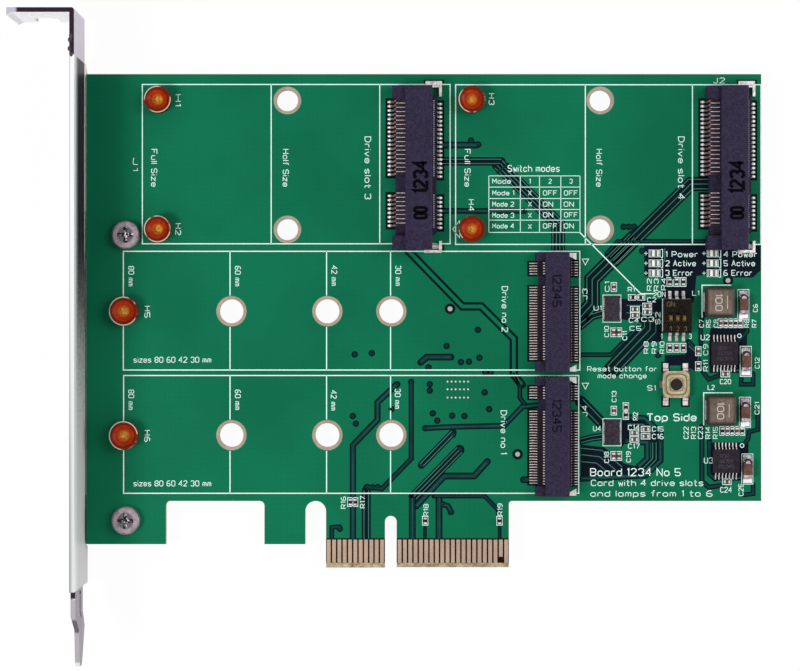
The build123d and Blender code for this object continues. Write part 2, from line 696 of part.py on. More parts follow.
with BuildPart() as reset_base:
    with BuildSketch(Plane.XY.offset(FRONT)):
        with Locations(RESET_AT):
            RectangleRounded(RESET_SIZE, RESET_SIZE, CROWN_INSET)
    extrude(amount=RESET_BASE_H)
    with BuildSketch(Plane.XY.offset(WELL_FLOOR_Z)):
        with Locations(RESET_AT):
            Circle(WELL_R)
    extrude(amount=COVER_Z - WELL_FLOOR_Z, mode=Mode.SUBTRACT)
save(reset_base, "reset_switch_base")

with BuildPart() as reset_cover:
    with BuildSketch(Plane.XY.offset(COVER_Z)):
        with Locations(RESET_AT):
            RectangleRounded(RESET_SIZE, RESET_SIZE, CROWN_INSET)
        with Locations((RESET_X - RESET_SIZE / 2, RESET_Y)):
            Rectangle(2 * RESET_LUG, 2 * RESET_LUG)
    extrude(amount=RESET_COVER_T)
    with BuildSketch(Plane.XY.offset(COVER_Z + RESET_COVER_T)) as crown:
        with Locations(RESET_AT):
            Rectangle(RESET_CROWN, RESET_CROWN)
        chamfer(crown.vertices(), RESET_CROWN_CORNER)
    extrude(amount=RESET_CROWN_H, taper=RESET_CROWN_TAPER)
    with BuildSketch(Plane.XY.offset(COVER_Z)):
        with Locations(RESET_AT):
            Circle(WELL_R)
    extrude(amount=RESET_CROWN_H, mode=Mode.SUBTRACT)
    with Locations((RESET_X, RESET_Y, CROWN_Z)):
        Hole(BUTTON_HOLE_R)
save(reset_cover, "reset_switch_cover")

with BuildPart() as reset_button:
    with BuildSketch(Plane.XY.offset(FLANGE_Z)):
        with Locations(RESET_AT):
            Circle(RESET_FLANGE_R)
    extrude(amount=RESET_FLANGE_H)
    with BuildSketch(Plane.XY.offset(FLANGE_Z + RESET_FLANGE_H)):
        with Locations(RESET_AT):
            Circle(RESET_BUTTON_R)
    extrude(amount=CROWN_Z + RESET_BUTTON_H - FLANGE_Z - RESET_FLANGE_H)
save(reset_button, "reset_button")


def gull_lead(inner, shoulder, outer, width, thick, height):
    """A bent lead in the XZ plane, from the body at `inner` out to its foot end at `outer`."""
    with BuildPart() as lead:
        with BuildSketch(Plane.XZ.offset(-width / 2)):
            with BuildLine():
                Polyline((outer, 0), (shoulder + thick, 0), (shoulder, height - thick), (inner, height - thick),
                         (inner, height), (shoulder + thick, height), (shoulder + 2 * thick, thick),
                         (outer, thick), close=True)
            make_face()
        extrude(amount=width)
    return lead


def place_leads(lead, places):
    """Copies of one lead. Each place is x, y, z and the heading of its foot in degrees."""
    with BuildPart() as leads:
        with Locations(*[Location((x, y, z), (0, 0, turn)) for x, y, z, turn in places]):
            add(lead.part)
    return leads


def both_rows(at, offsets, z):
    """Places of two rows of leads that leave a body upwards and downwards in Y."""
    x0, y0 = at
    return [(x0 + dx, y0, z, turn) for dx in offsets for turn in (90, -90)]


reset_lead = gull_lead(RESET_SIZE / 2, RESET_SIZE / 2 + RESET_LEAD_T, RESET_LEAD_SPAN / 2, RESET_LEAD_W,
                       RESET_LEAD_T, RESET_BASE_H / 2)
reset_leads = place_leads(reset_lead, both_rows(RESET_AT, spread(2, RESET_LEAD_SPACING), FRONT))
save(reset_leads, "reset_switch_leads")


# Three-way slide switch block, with film over its sliders
DIP_TOP = FRONT + DIP_H
WELL_FLOOR = DIP_TOP - DIP_WELL_DEPTH
DIP_XS = [DIP_X + dx for dx in spread(DIP_WAYS, DIP_PITCH)]
SLIDER_W = DIP_WELL_W - 2 * DIP_SLIDER_GAP
SLIDER_TRAVEL = DIP_WELL_L - DIP_SLIDER_L - 2 * DIP_SLIDER_GAP
SLIDER_Y = DIP_Y - SLIDER_TRAVEL / 2

with BuildPart() as dip_body:
    with BuildSketch(Plane.XY.offset(FRONT)):
        with Locations((DIP_X, DIP_Y)):
            Rectangle(DIP_W, DIP_L)
    extrude(amount=DIP_H)
    with BuildSketch(Plane.XY.offset(WELL_FLOOR)):
        with Locations(*[(x, DIP_Y) for x in DIP_XS]):
            Rectangle(DIP_WELL_W, DIP_WELL_L)
    extrude(amount=DIP_WELL_DEPTH, mode=Mode.SUBTRACT)
save(dip_body, "dip_switch_body")

for number, slider_x in enumerate(DIP_XS, 1):
    with BuildPart() as slider:
        with BuildSketch(Plane.XY.offset(WELL_FLOOR + DIP_SLIDER_GAP)):
            with Locations((slider_x, SLIDER_Y)):
                Rectangle(SLIDER_W, DIP_SLIDER_L)
        extrude(amount=DIP_SLIDER_H)
        with BuildSketch(Plane.XY.offset(WELL_FLOOR + DIP_SLIDER_GAP + DIP_SLIDER_H)):
            with Locations((slider_x, SLIDER_Y)):
                Rectangle(DIP_KNOB_W, DIP_KNOB_L)
        extrude(amount=DIP_WELL_DEPTH - DIP_SLIDER_GAP - DIP_SLIDER_H - DIP_KNOB_BELOW_TOP)
    save(slider, f"dip_slider_{number}")

dip_lead = gull_lead(DIP_L / 2, DIP_L / 2 + DIP_LEAD_T, DIP_LEAD_SPAN / 2, DIP_LEAD_W, DIP_LEAD_T,
                     DIP_LEAD_RISE)
dip_leads = place_leads(dip_lead, both_rows((DIP_X, DIP_Y), spread(DIP_WAYS, DIP_PITCH), FRONT))
save(dip_leads, "dip_switch_leads")

with BuildPart() as dip_tape:
    with BuildSketch(Plane.XY.offset(DIP_TOP)):
        with Locations((DIP_X, DIP_Y)):
            Rectangle(DIP_W + 2 * TAPE_OVERHANG, DIP_L)
    extrude(amount=TAPE_T)
save(dip_tape, "dip_switch_tape")


# Chip parts: a body between two end caps
def shifted(at, shift):
    """A place in a repeated block."""
    return at[0] + shift[0], at[1] + shift[1]


def chip_bodies(upright, across, length, width, height, end):
    """Bodies of chip parts, long in Y where upright and long in X where across."""
    with BuildPart() as bodies:
        with BuildSketch(Plane.XY.offset(FRONT)):
            if upright:
                with Locations(*upright):
                    Rectangle(width, length - 2 * end)
            if across:
                with Locations(*across):
                    Rectangle(length - 2 * end, width)
        extrude(amount=height)
    return bodies


def chip_ends(upright, across, length, width, height, end, solder=0.0, solder_h=0.0):
    """End caps of chip parts, each with a low shelf of solder beyond it where asked."""
    with BuildPart() as caps:
        offset = (length - end) / 2
        with BuildSketch(Plane.XY.offset(FRONT)):
            for side in (1, -1):
                if upright:
                    with Locations(*[(x, y + side * offset) for x, y in upright]):
                        Rectangle(width, end)
                if across:
                    with Locations(*[(x + side * offset, y) for x, y in across]):
                        Rectangle(end, width)
        extrude(amount=height)
        if solder:
            with BuildSketch(Plane.XY.offset(FRONT)):
                for side in (1, -1):
                    with Locations(*[(x, y + side * (length + solder) / 2) for x, y in upright]):
                        Rectangle(width, solder)
            extrude(amount=solder_h)
    return caps


SWITCH_RESISTORS = [(x, DIP_Y + offset) for x in DIP_XS for offset in SWITCH_RESISTOR_OFFSETS]
ROWS = [shifted((SMALL_ROW_AT[0] + dx, SMALL_ROW_AT[1]), shift)
        for shift in REGULATOR_SHIFTS for dx in spread(SMALL_ROW_COUNT, SMALL_ROW_PITCH)]
ROW_RESISTORS = ROWS[1::2]
ROW_CAPS = ROWS[0::2]
CHIP_CAPS = [(SIGNAL_CHIP_X + dx, y + dy) for y in SIGNAL_CHIP_Y for dx, dy in SIGNAL_CAPS]
LOWER_CAPS = [shifted(LOWER_CAP_AT, shift) for shift in REGULATOR_SHIFTS]
RESISTORS_UPRIGHT = SWITCH_RESISTORS + ROW_RESISTORS + list(LONE_RESISTORS_UPRIGHT)
CAPS_UPRIGHT = ROW_CAPS + CHIP_CAPS + list(LONE_CAPS_UPRIGHT)
CAPS_ACROSS = list(LONE_CAPS_ACROSS) + LOWER_CAPS
SMALL = (SMALL_L, SMALL_W, SMALL_H, SMALL_END)

resistor_bodies = chip_bodies(RESISTORS_UPRIGHT, LONE_RESISTORS_ACROSS, *SMALL)
save(resistor_bodies, "resistor_bodies")
resistor_ends = chip_ends(RESISTORS_UPRIGHT, LONE_RESISTORS_ACROSS, *SMALL)
save(resistor_ends, "resistor_ends")
small_capacitor_bodies = chip_bodies(CAPS_UPRIGHT, CAPS_ACROSS, *SMALL)
save(small_capacitor_bodies, "small_capacitor_bodies")
small_capacitor_ends = chip_ends(CAPS_UPRIGHT, CAPS_ACROSS, *SMALL)
save(small_capacitor_ends, "small_capacitor_ends")

LARGE_CAPS = [shifted(at, shift) for shift in REGULATOR_SHIFTS for at in LARGE_CAP_AT]
LARGE = (LARGE_CAP_L, LARGE_CAP_W, LARGE_CAP_H, LARGE_CAP_END)
large_capacitor_bodies = chip_bodies(LARGE_CAPS, [], *LARGE)
save(large_capacitor_bodies, "large_capacitor_bodies")
large_capacitor_ends = chip_ends(LARGE_CAPS, [], *LARGE, solder=SOLDER_REACH, solder_h=SOLDER_H)
save(large_capacitor_ends, "large_capacitor_ends")


# Inductors: moulded blocks on two feet
INDUCTORS = [shifted(INDUCTOR_AT, shift) for shift in REGULATOR_SHIFTS]
with BuildPart() as inductor_bodies:
    with BuildSketch(Plane.XY.offset(FRONT + INDUCTOR_FOOT_T)):
        with Locations(*INDUCTORS):
            RectangleRounded(INDUCTOR_W, INDUCTOR_L, INDUCTOR_CORNER)
    extrude(amount=INDUCTOR_H - INDUCTOR_FOOT_T)
    chamfer(inductor_bodies.faces().group_by(Axis.Z)[-1].edges(), INDUCTOR_EDGE)
save(inductor_bodies, "inductor_bodies")
with BuildPart() as inductor_feet:
    with BuildSketch(Plane.XY.offset(FRONT)):
        foot_x = INDUCTOR_W / 2 + INDUCTOR_FOOT_REACH - INDUCTOR_FOOT_L / 2
        with Locations(*[(x + side * foot_x, y) for x, y in INDUCTORS for side in (1, -1)]):
            Rectangle(INDUCTOR_FOOT_L, INDUCTOR_FOOT_W)
    extrude(amount=INDUCTOR_FOOT_T)
save(inductor_feet, "inductor_feet")


# Regulator chips and their leads
DRIVERS = [shifted(DRIVER_AT, shift) for shift in REGULATOR_SHIFTS]
with BuildPart() as driver_bodies:
    with BuildSketch(Plane.XY.offset(FRONT + DRIVER_STANDOFF)):
        with Locations(*DRIVERS):
            Rectangle(DRIVER_W, DRIVER_L)
    extrude(amount=DRIVER_H - DRIVER_STANDOFF)
save(driver_bodies, "regulator_chips")
driver_lead = gull_lead(DRIVER_L / 2, DRIVER_L / 2 + LEAD_T, DRIVER_PIN_SPAN / 2, DRIVER_PIN_W, LEAD_T,
                        DRIVER_H / 2 + LEAD_T)
driver_places = [place for at in DRIVERS
                 for place in both_rows(at, spread(DRIVER_PINS, DRIVER_PITCH), FRONT)]
driver_leads = place_leads(driver_lead, driver_places)
save(driver_leads, "regulator_chip_leads")


# Signal chips, with pads that show past their long sides
SIGNAL_CHIPS = [(SIGNAL_CHIP_X, y) for y in SIGNAL_CHIP_Y]
with BuildPart() as signal_chips:
    with BuildSketch(Plane.XY.offset(FRONT + COPPER_T)):
        with Locations(*SIGNAL_CHIPS):
            Rectangle(SIGNAL_CHIP_W, SIGNAL_CHIP_L)
    extrude(amount=SIGNAL_CHIP_H - COPPER_T)
save(signal_chips, "signal_chips")
with BuildPart() as signal_chip_pads:
    with BuildSketch(Plane.XY.offset(FRONT)):
        with Locations(*[(x + side * SIGNAL_CHIP_W / 2, y + dy) for x, y in SIGNAL_CHIPS
                         for side in (1, -1) for dy in spread(SIGNAL_PADS, SIGNAL_PAD_PITCH)]):
            Rectangle(2 * SIGNAL_PAD_REACH, SIGNAL_PAD_W)
    extrude(amount=COPPER_T)
save(signal_chip_pads, "signal_chip_pads")


# Status lamps
LAMPS = [(x, LAMP_Y + dy) for x in LAMP_X for dy in spread(LAMPS_EACH, LAMP_PITCH)]
with BuildPart() as lamp_bases:
    with BuildSketch(Plane.XY.offset(FRONT)):
        with Locations(*LAMPS):
            Rectangle(LAMP_L, LAMP_W)
    extrude(amount=LAMP_BASE_H)
save(lamp_bases, "status_lamp_bases")
with BuildPart() as lamp_lenses:
    with BuildSketch(Plane.XY.offset(FRONT + LAMP_BASE_H)):
        with Locations(*LAMPS):
            Rectangle(LAMP_LENS_L, LAMP_W)
    extrude(amount=LAMP_LENS_H)
    chamfer(lamp_lenses.faces().group_by(Axis.Z)[-1].edges().filter_by(Axis.Y), LAMP_LENS_DRAFT)
save(lamp_lenses, "status_lamp_lenses")


# Back of the board
with BuildPart() as controller:
    with BuildSketch(Plane.XY.offset(BACK - COPPER_T)):
        with Locations(CONTROLLER_AT):
            Rectangle(CONTROLLER_SIZE, CONTROLLER_SIZE)
    extrude(amount=-(CONTROLLER_H - COPPER_T))
save(controller, "controller_chip")
with BuildPart() as controller_pads:
    with BuildSketch(Plane.XY.offset(BACK)):
        for dx in spread(CONTROLLER_PADS, CONTROLLER_PAD_PITCH):
            for side in (1, -1):
                with Locations(shifted(CONTROLLER_AT, (dx, side * CONTROLLER_SIZE / 2))):
                    Rectangle(SIGNAL_PAD_W, 2 * SIGNAL_PAD_REACH)
                with Locations(shifted(CONTROLLER_AT, (side * CONTROLLER_SIZE / 2, dx))):
                    Rectangle(2 * SIGNAL_PAD_REACH, SIGNAL_PAD_W)
    extrude(amount=-COPPER_T)
save(controller_pads, "controller_chip_pads")

with BuildPart() as crystal:
    with BuildSketch(Plane.XY.offset(BACK)):
        with Locations(CRYSTAL_AT):
            Rectangle(CRYSTAL_W, CRYSTAL_L)
    extrude(amount=-(CRYSTAL_H - CRYSTAL_LID_H))
save(crystal, "crystal_base")
with BuildPart() as crystal_lid:
    with BuildSketch(Plane.XY.offset(BACK - CRYSTAL_H + CRYSTAL_LID_H)):
        with Locations(CRYSTAL_AT):
            RectangleRounded(CRYSTAL_W - 2 * CRYSTAL_LID_INSET, CRYSTAL_L - 2 * CRYSTAL_LID_INSET,
                             CRYSTAL_LID_INSET)
    extrude(amount=-CRYSTAL_LID_H)
save(crystal_lid, "crystal_lid")

with BuildPart() as memory:
    with BuildSketch(Plane.XY.offset(BACK - DRIVER_STANDOFF)):
        with Locations(MEMORY_AT):
            Rectangle(MEMORY_W, MEMORY_L)
    extrude(amount=-(MEMORY_H - DRIVER_STANDOFF))
save(memory, "memory_chip")
memory_lead = gull_lead(MEMORY_L / 2, MEMORY_L / 2 + LEAD_T, MEMORY_PIN_SPAN / 2, MEMORY_PIN_W, LEAD_T,
                        MEMORY_H / 2)
with BuildPart() as memory_leads:
    with Locations(*[Location((MEMORY_AT[0] + dx, MEMORY_AT[1], BACK), (180, 0, turn))
                     for dx in spread(MEMORY_PINS, MEMORY_PITCH) for turn in (90, -90)]):
        add(memory_lead.part)
save(memory_leads, "memory_chip_leads")

BACK_CAPS = [shifted(CONTROLLER_AT, (dx, side * (CONTROLLER_SIZE / 2 + BACK_CAP_GAP)))
             for dx in spread(BACK_CAPS_EACH_SIDE, BACK_CAP_PITCH) for side in (1, -1)]
with BuildPart() as back_capacitor_bodies:
    with BuildSketch(Plane.XY.offset(BACK)):
        with Locations(*BACK_CAPS):
            Rectangle(SMALL_L - 2 * SMALL_END, SMALL_W)
    extrude(amount=-SMALL_H)
save(back_capacitor_bodies, "back_capacitor_bodies")
with BuildPart() as back_capacitor_ends:
    with BuildSketch(Plane.XY.offset(BACK)):
        with Locations(*[(x + side * (SMALL_L - SMALL_END) / 2, y) for x, y in BACK_CAPS for side in (1, -1)]):
            Rectangle(SMALL_END, SMALL_W)
    extrude(amount=-SMALL_H)
save(back_capacitor_ends, "back_capacitor_ends")
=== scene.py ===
"""Looks for an expansion card with four drive sockets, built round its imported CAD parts.

Run as a script. The file is laid out as an add-on: its sizes and colours are in property groups, and one
operator makes each group of pieces. Lengths in the tables are millimetres in the card's own frame.
"""

import math

import bmesh
import bpy
from bpy.props import FloatProperty, FloatVectorProperty, PointerProperty
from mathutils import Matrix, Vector


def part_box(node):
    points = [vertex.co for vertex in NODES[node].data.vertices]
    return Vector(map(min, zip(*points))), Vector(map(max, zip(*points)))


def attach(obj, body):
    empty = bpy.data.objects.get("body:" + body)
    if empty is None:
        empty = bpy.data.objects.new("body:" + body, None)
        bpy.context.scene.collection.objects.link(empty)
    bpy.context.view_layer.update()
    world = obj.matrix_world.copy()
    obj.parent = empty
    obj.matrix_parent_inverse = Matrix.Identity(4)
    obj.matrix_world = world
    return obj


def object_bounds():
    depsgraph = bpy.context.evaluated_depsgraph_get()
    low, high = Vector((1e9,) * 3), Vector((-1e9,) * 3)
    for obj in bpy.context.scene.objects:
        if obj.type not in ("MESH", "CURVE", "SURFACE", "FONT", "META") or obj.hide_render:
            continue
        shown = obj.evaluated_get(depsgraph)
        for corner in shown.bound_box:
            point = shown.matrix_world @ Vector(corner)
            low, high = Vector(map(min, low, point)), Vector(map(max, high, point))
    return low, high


bl_info = {
    "name": "Drive socket card",
    "version": (1, 0, 0),
    "blender": (4, 5, 0),
    "location": "View3D > Sidebar > Drive card",
    "description": "Finishes, print, tracks and stage for an expansion card with drive sockets",
    "category": "Object",
}

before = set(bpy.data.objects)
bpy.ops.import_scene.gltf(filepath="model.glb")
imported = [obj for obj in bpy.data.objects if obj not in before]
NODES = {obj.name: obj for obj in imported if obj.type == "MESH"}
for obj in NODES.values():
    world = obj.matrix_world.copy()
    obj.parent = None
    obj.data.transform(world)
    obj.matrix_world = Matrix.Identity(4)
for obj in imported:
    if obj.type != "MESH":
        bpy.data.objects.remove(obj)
CAD_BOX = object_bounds()
MM = 0.001
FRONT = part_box("circuit_board")[1].z / MM
CARD = "card"
# Middles of the sockets, their contacts' pitch, the hold-downs and the first contact from the middle
MSATA_X, MSATA_Y, MSATA_PITCH, MSATA_HOLD = (4.5, 63.2), 75.55, 0.8, 15.35
M2_X, M2_Y, M2_PITCH, M2_FIRST = 30.1, (24.85, 48.1), 0.5, 9.0
# Flat layers over the mask, from the lowest up, so that none of them share a height
FIELD_Z, END_Z, BAND_Z, RING_Z = FRONT + 0.006, FRONT + 0.0115, FRONT + 0.012, FRONT + 0.0125
LANE_Z, PAD_Z, GLINT_Z, HOLE_Z, TIN_Z = FRONT + 0.018, FRONT + 0.02, FRONT + 0.024, FRONT + 0.025, FRONT + 0.03
INK_LIFT = 0.02      # print on a part, over its top
HOLE_GAP = 2.95      # an outline's upright stops this far from a hole's middle
GLINT_W = 1.05       # a lone track wider than this shows a thin bright line
BROAD_W = 1.5        # and wider than this, a green lane
BROAD_LANE = 0.68
END_TOUCH = 0.06     # an end cap this near to a small part belongs to it
# How far dark bands reach past small parts, switch leads and vias, and the radius of those round sight pads
PART_BAND, LEAD_BAND, VIA_BAND, SIGHT_BAND = 0.2, 0.3, 0.3, 1.0
# How far printed frames stand from small parts, signal chips and lamps, and the pen round a lamp
PART_GAP, CHIP_GAP, LAMP_GAP, LAMP_PEN = 0.22, 0.3, 0.1, 0.1
# Resistors beside the signal chips: middle, and the way that they lie
SECOND_RESISTORS = ((46.85, 50.7, 1, 0), (44.1, 30.1, 0, 1))
BOX_FACES = ((0, 1, 3, 2), (4, 6, 7, 5), (0, 4, 5, 1), (2, 3, 7, 6), (0, 2, 6, 4), (1, 5, 7, 3))


# ---------------------------------------------------------------- settings


def colour(name, description, rgb):
    """A colour setting, given as the value it is seen at."""
    return FloatVectorProperty(
        name=name, description=description, subtype="COLOR", size=3, min=0.0, max=1.0,
        default=[linear(v) for v in rgb],
    )


def linear(v):
    """A display value from 0 to 255 as the linear value that shaders use."""
    v = v / 255.0
    return v / 12.92 if v <= 0.04045 else ((v + 0.055) / 1.055) ** 2.4


def length(name, description, value):
    """A length setting in millimetres."""
    return FloatProperty(name=name, description=description, default=value, min=0.0, precision=3)


class BoardSettings(bpy.types.PropertyGroup):
    """Solder mask, bare laminate and tracks."""

    mask: colour("Mask", "Solder mask over copper", (12, 107, 75))
    mask_deep: colour("Mask over laminate", "Mask where no copper lies under it", (8, 84, 62))
    clearance: colour("Clearance", "Gap round a track", (3, 26, 28))
    track: colour("Track", "Mask over a track's copper", (16, 54, 52))
    thread: colour("Thin track", "Mask over the thin tracks of a bundle", (62, 112, 102))
    navy: colour("Track field", "Dark field of close tracks", (9, 18, 30))
    laminate: colour("Laminate", "Cut edge of the board", (184, 172, 132))
    cut_light: colour("Pale cut", "Light grains of the bevelled contact edge", (200, 186, 160))
    cut_dark: colour("Dark cut", "Dark grains of the bevelled contact edge", (116, 94, 66))
    edge_w: length("Track edge", "Dark clearance on each side of a track", 0.27)
    thread_w: length("Thin track width", "Width of a bundle's thin tracks", 0.15)
    via_r: length("Via radius", "Radius of a via's pad", 0.32)


class PrintSettings(bpy.types.PropertyGroup):
    """White print on the board."""

    ink: colour("Ink", "Print ink", (220, 250, 240))
    line_w: length("Line width", "Width of an outline", 0.2)
    fine_w: length("Fine line width", "Width of a small part's outline", 0.125)
    lift: length("Lift", "Height of the ink over the mask", 0.03)


class MetalSettings(bpy.types.PropertyGroup):
    """Metals and platings."""

    steel: colour("Bracket steel", "Plated steel sheet", (205, 203, 210))
    gold: colour("Contact gold", "Gold on the edge contacts", (168, 144, 126))
    brass: colour("Brass", "Threaded standoffs", (168, 46, 7))
    tin: colour("Tin", "Tinned leads and pads", (214, 208, 206))
    screw: colour("Screw", "Bracket screws", (150, 136, 144))


class StageSettings(bpy.types.PropertyGroup):
    """Camera, lights and floor."""

    lens: FloatProperty(name="Lens", description="Focal length on a 36 mm sensor, in mm", default=104.8)
    height: length("Camera height", "Camera above the board's front", 437.0)
    aim_x: FloatProperty(name="Aim X", description="Camera place along the card, in mm", default=1.727)
    aim_y: FloatProperty(name="Aim Y", description="Camera place up the card, in mm", default=43.55)
    key_power: FloatProperty(name="Key", description="Main soft light, in watts", default=0.41, min=0.0)
    world: FloatProperty(name="World", description="Strength of the even light", default=0.5, min=0.0)


# ---------------------------------------------------------------- node helpers


def add(tree, kind, settings=None, **inputs):
    """A node with its properties set and its inputs linked or given values."""
    node = tree.nodes.new(kind)
    for key, value in (settings or {}).items():
        setattr(node, key, value)
    for key, value in inputs.items():
        put(tree, node.inputs[int(key[1:])] if key[0] == "_" else node.inputs[key.replace("_", " ")], value)
    return node


def put(tree, socket, value):
    """Link a socket, or set its value."""
    if isinstance(value, bpy.types.NodeSocket):
        tree.links.new(value, socket)
    elif socket.type == "RGBA" and len(value) == 3:
        socket.default_value = (*value, 1.0)
    else:
        socket.default_value = value


def math_node(tree, operation, a, b=0.0, c=0.0):
    """One step of arithmetic, as its output socket."""
    return add(tree, "ShaderNodeMath", {"operation": operation}, _0=a, _1=b, _2=c).outputs[0]


def blend(tree, factor, a, b):
    """Two colours mixed by a factor, as the output socket."""
    node = add(tree, "ShaderNodeMix", {"data_type": "RGBA"}, _0=factor, _6=a, _7=b)
    return node.outputs[2]


def ramp(tree, value, low, high):
    """A value run from 0 at low to 1 at high, held at both ends."""
    node = add(tree, "ShaderNodeMapRange", {"interpolation_type": "SMOOTHSTEP"},
               Value=value, From_Min=low, From_Max=high)
    return node.outputs[0]


def group_tree(name, inputs, outputs):
    """An empty shader node group with named sockets, and its two ends."""
    tree = bpy.data.node_groups.new(name, "ShaderNodeTree")
    for label, kind, value in inputs:
        socket = tree.interface.new_socket(label, in_out="INPUT", socket_type=kind)
        if value is not None:
            socket.default_value = value
    for label, kind in outputs:
        tree.interface.new_socket(label, in_out="OUTPUT", socket_type=kind)
    return tree, tree.nodes.new("NodeGroupInput"), tree.nodes.new("NodeGroupOutput")


FLOAT, COLOR, VECTOR = "NodeSocketFloat", "NodeSocketColor", "NodeSocketVector"


def make_mottle():
    """Two colours in soft patches with fine grain, and a matching height."""
    tree, start, end = group_tree(
        "mottle",
        [("Vector", VECTOR, None), ("Light", COLOR, None), ("Dark", COLOR, None), ("Patch", FLOAT, 150.0),
         ("Grain", FLOAT, 2500.0), ("Grain share", FLOAT, 0.4)],
        [("Color", COLOR), ("Value", FLOAT), ("Height", FLOAT)],
    )
    s = start.outputs
    patch = add(tree, "ShaderNodeTexNoise", None, Vector=s["Vector"], Scale=s["Patch"], Detail=3.0)
    grain = add(tree, "ShaderNodeTexNoise", None, Vector=s["Vector"], Scale=s["Grain"], Detail=2.0)
    patchy = ramp(tree, patch.outputs[0], 0.3, 0.7)
    grainy = ramp(tree, grain.outputs[0], 0.3, 0.7)
    mixed = add(tree, "ShaderNodeMix", None, _0=s["Grain share"], _2=patchy, _3=grainy).outputs[0]
    put(tree, end.inputs["Color"], blend(tree, mixed, s["Dark"], s["Light"]))
    put(tree, end.inputs["Value"], mixed)
    put(tree, end.inputs["Height"], grainy)
    return tree


def make_brushed():
    """Fine streaks along one direction, as a value and a height."""
    tree, start, end = group_tree(
        "brushed",
        [("Vector", VECTOR, None), ("Stretch", VECTOR, (1.0, 1.0, 1.0)), ("Scale", FLOAT, 2000.0)],
        [("Value", FLOAT), ("Height", FLOAT)],
    )
    s = start.outputs
    run = add(tree, "ShaderNodeMapping", None, Vector=s["Vector"], Scale=s["Stretch"])
    streak = add(tree, "ShaderNodeTexNoise", None, Vector=run.outputs[0], Scale=s["Scale"], Detail=4.0)
    put(tree, end.inputs["Value"], ramp(tree, streak.outputs[0], 0.35, 0.65))
    put(tree, end.inputs["Height"], streak.outputs[0])
    return tree


def make_specks():
    """A mask of sparse small specks, for dust and pits."""
    tree, start, end = group_tree(
        "specks",
        [("Vector", VECTOR, None), ("Scale", FLOAT, 900.0), ("Size", FLOAT, 0.18)],
        [("Mask", FLOAT)],
    )
    s = start.outputs
    cells = add(tree, "ShaderNodeTexVoronoi", None, Vector=s["Vector"], Scale=s["Scale"])
    near = math_node(tree, "LESS_THAN", cells.outputs["Distance"], s["Size"])
    some = add(tree, "ShaderNodeSeparateColor", None, Color=cells.outputs["Color"])
    put(tree, end.inputs["Mask"], math_node(tree, "MULTIPLY", near, math_node(
        tree, "GREATER_THAN", some.outputs[0], 0.8)))
    return tree


MAKERS = {"mottle": make_mottle, "brushed": make_brushed, "specks": make_specks}
GROUPS = {}
SHORT = {"spec": "Specular IOR Level", "metal": "Metallic", "coat": "Coat Weight", "alpha": "Alpha",
         "roughness": "Roughness"}


def effect(tree, name, **inputs):
    """A shared effect placed in a material, as its output sockets."""
    if name not in GROUPS:
        GROUPS[name] = MAKERS[name]()
    node = tree.nodes.new("ShaderNodeGroup")
    node.node_tree = GROUPS[name]
    for key, value in inputs.items():
        put(tree, node.inputs[key.replace("_", " ")], value)
    return node.outputs


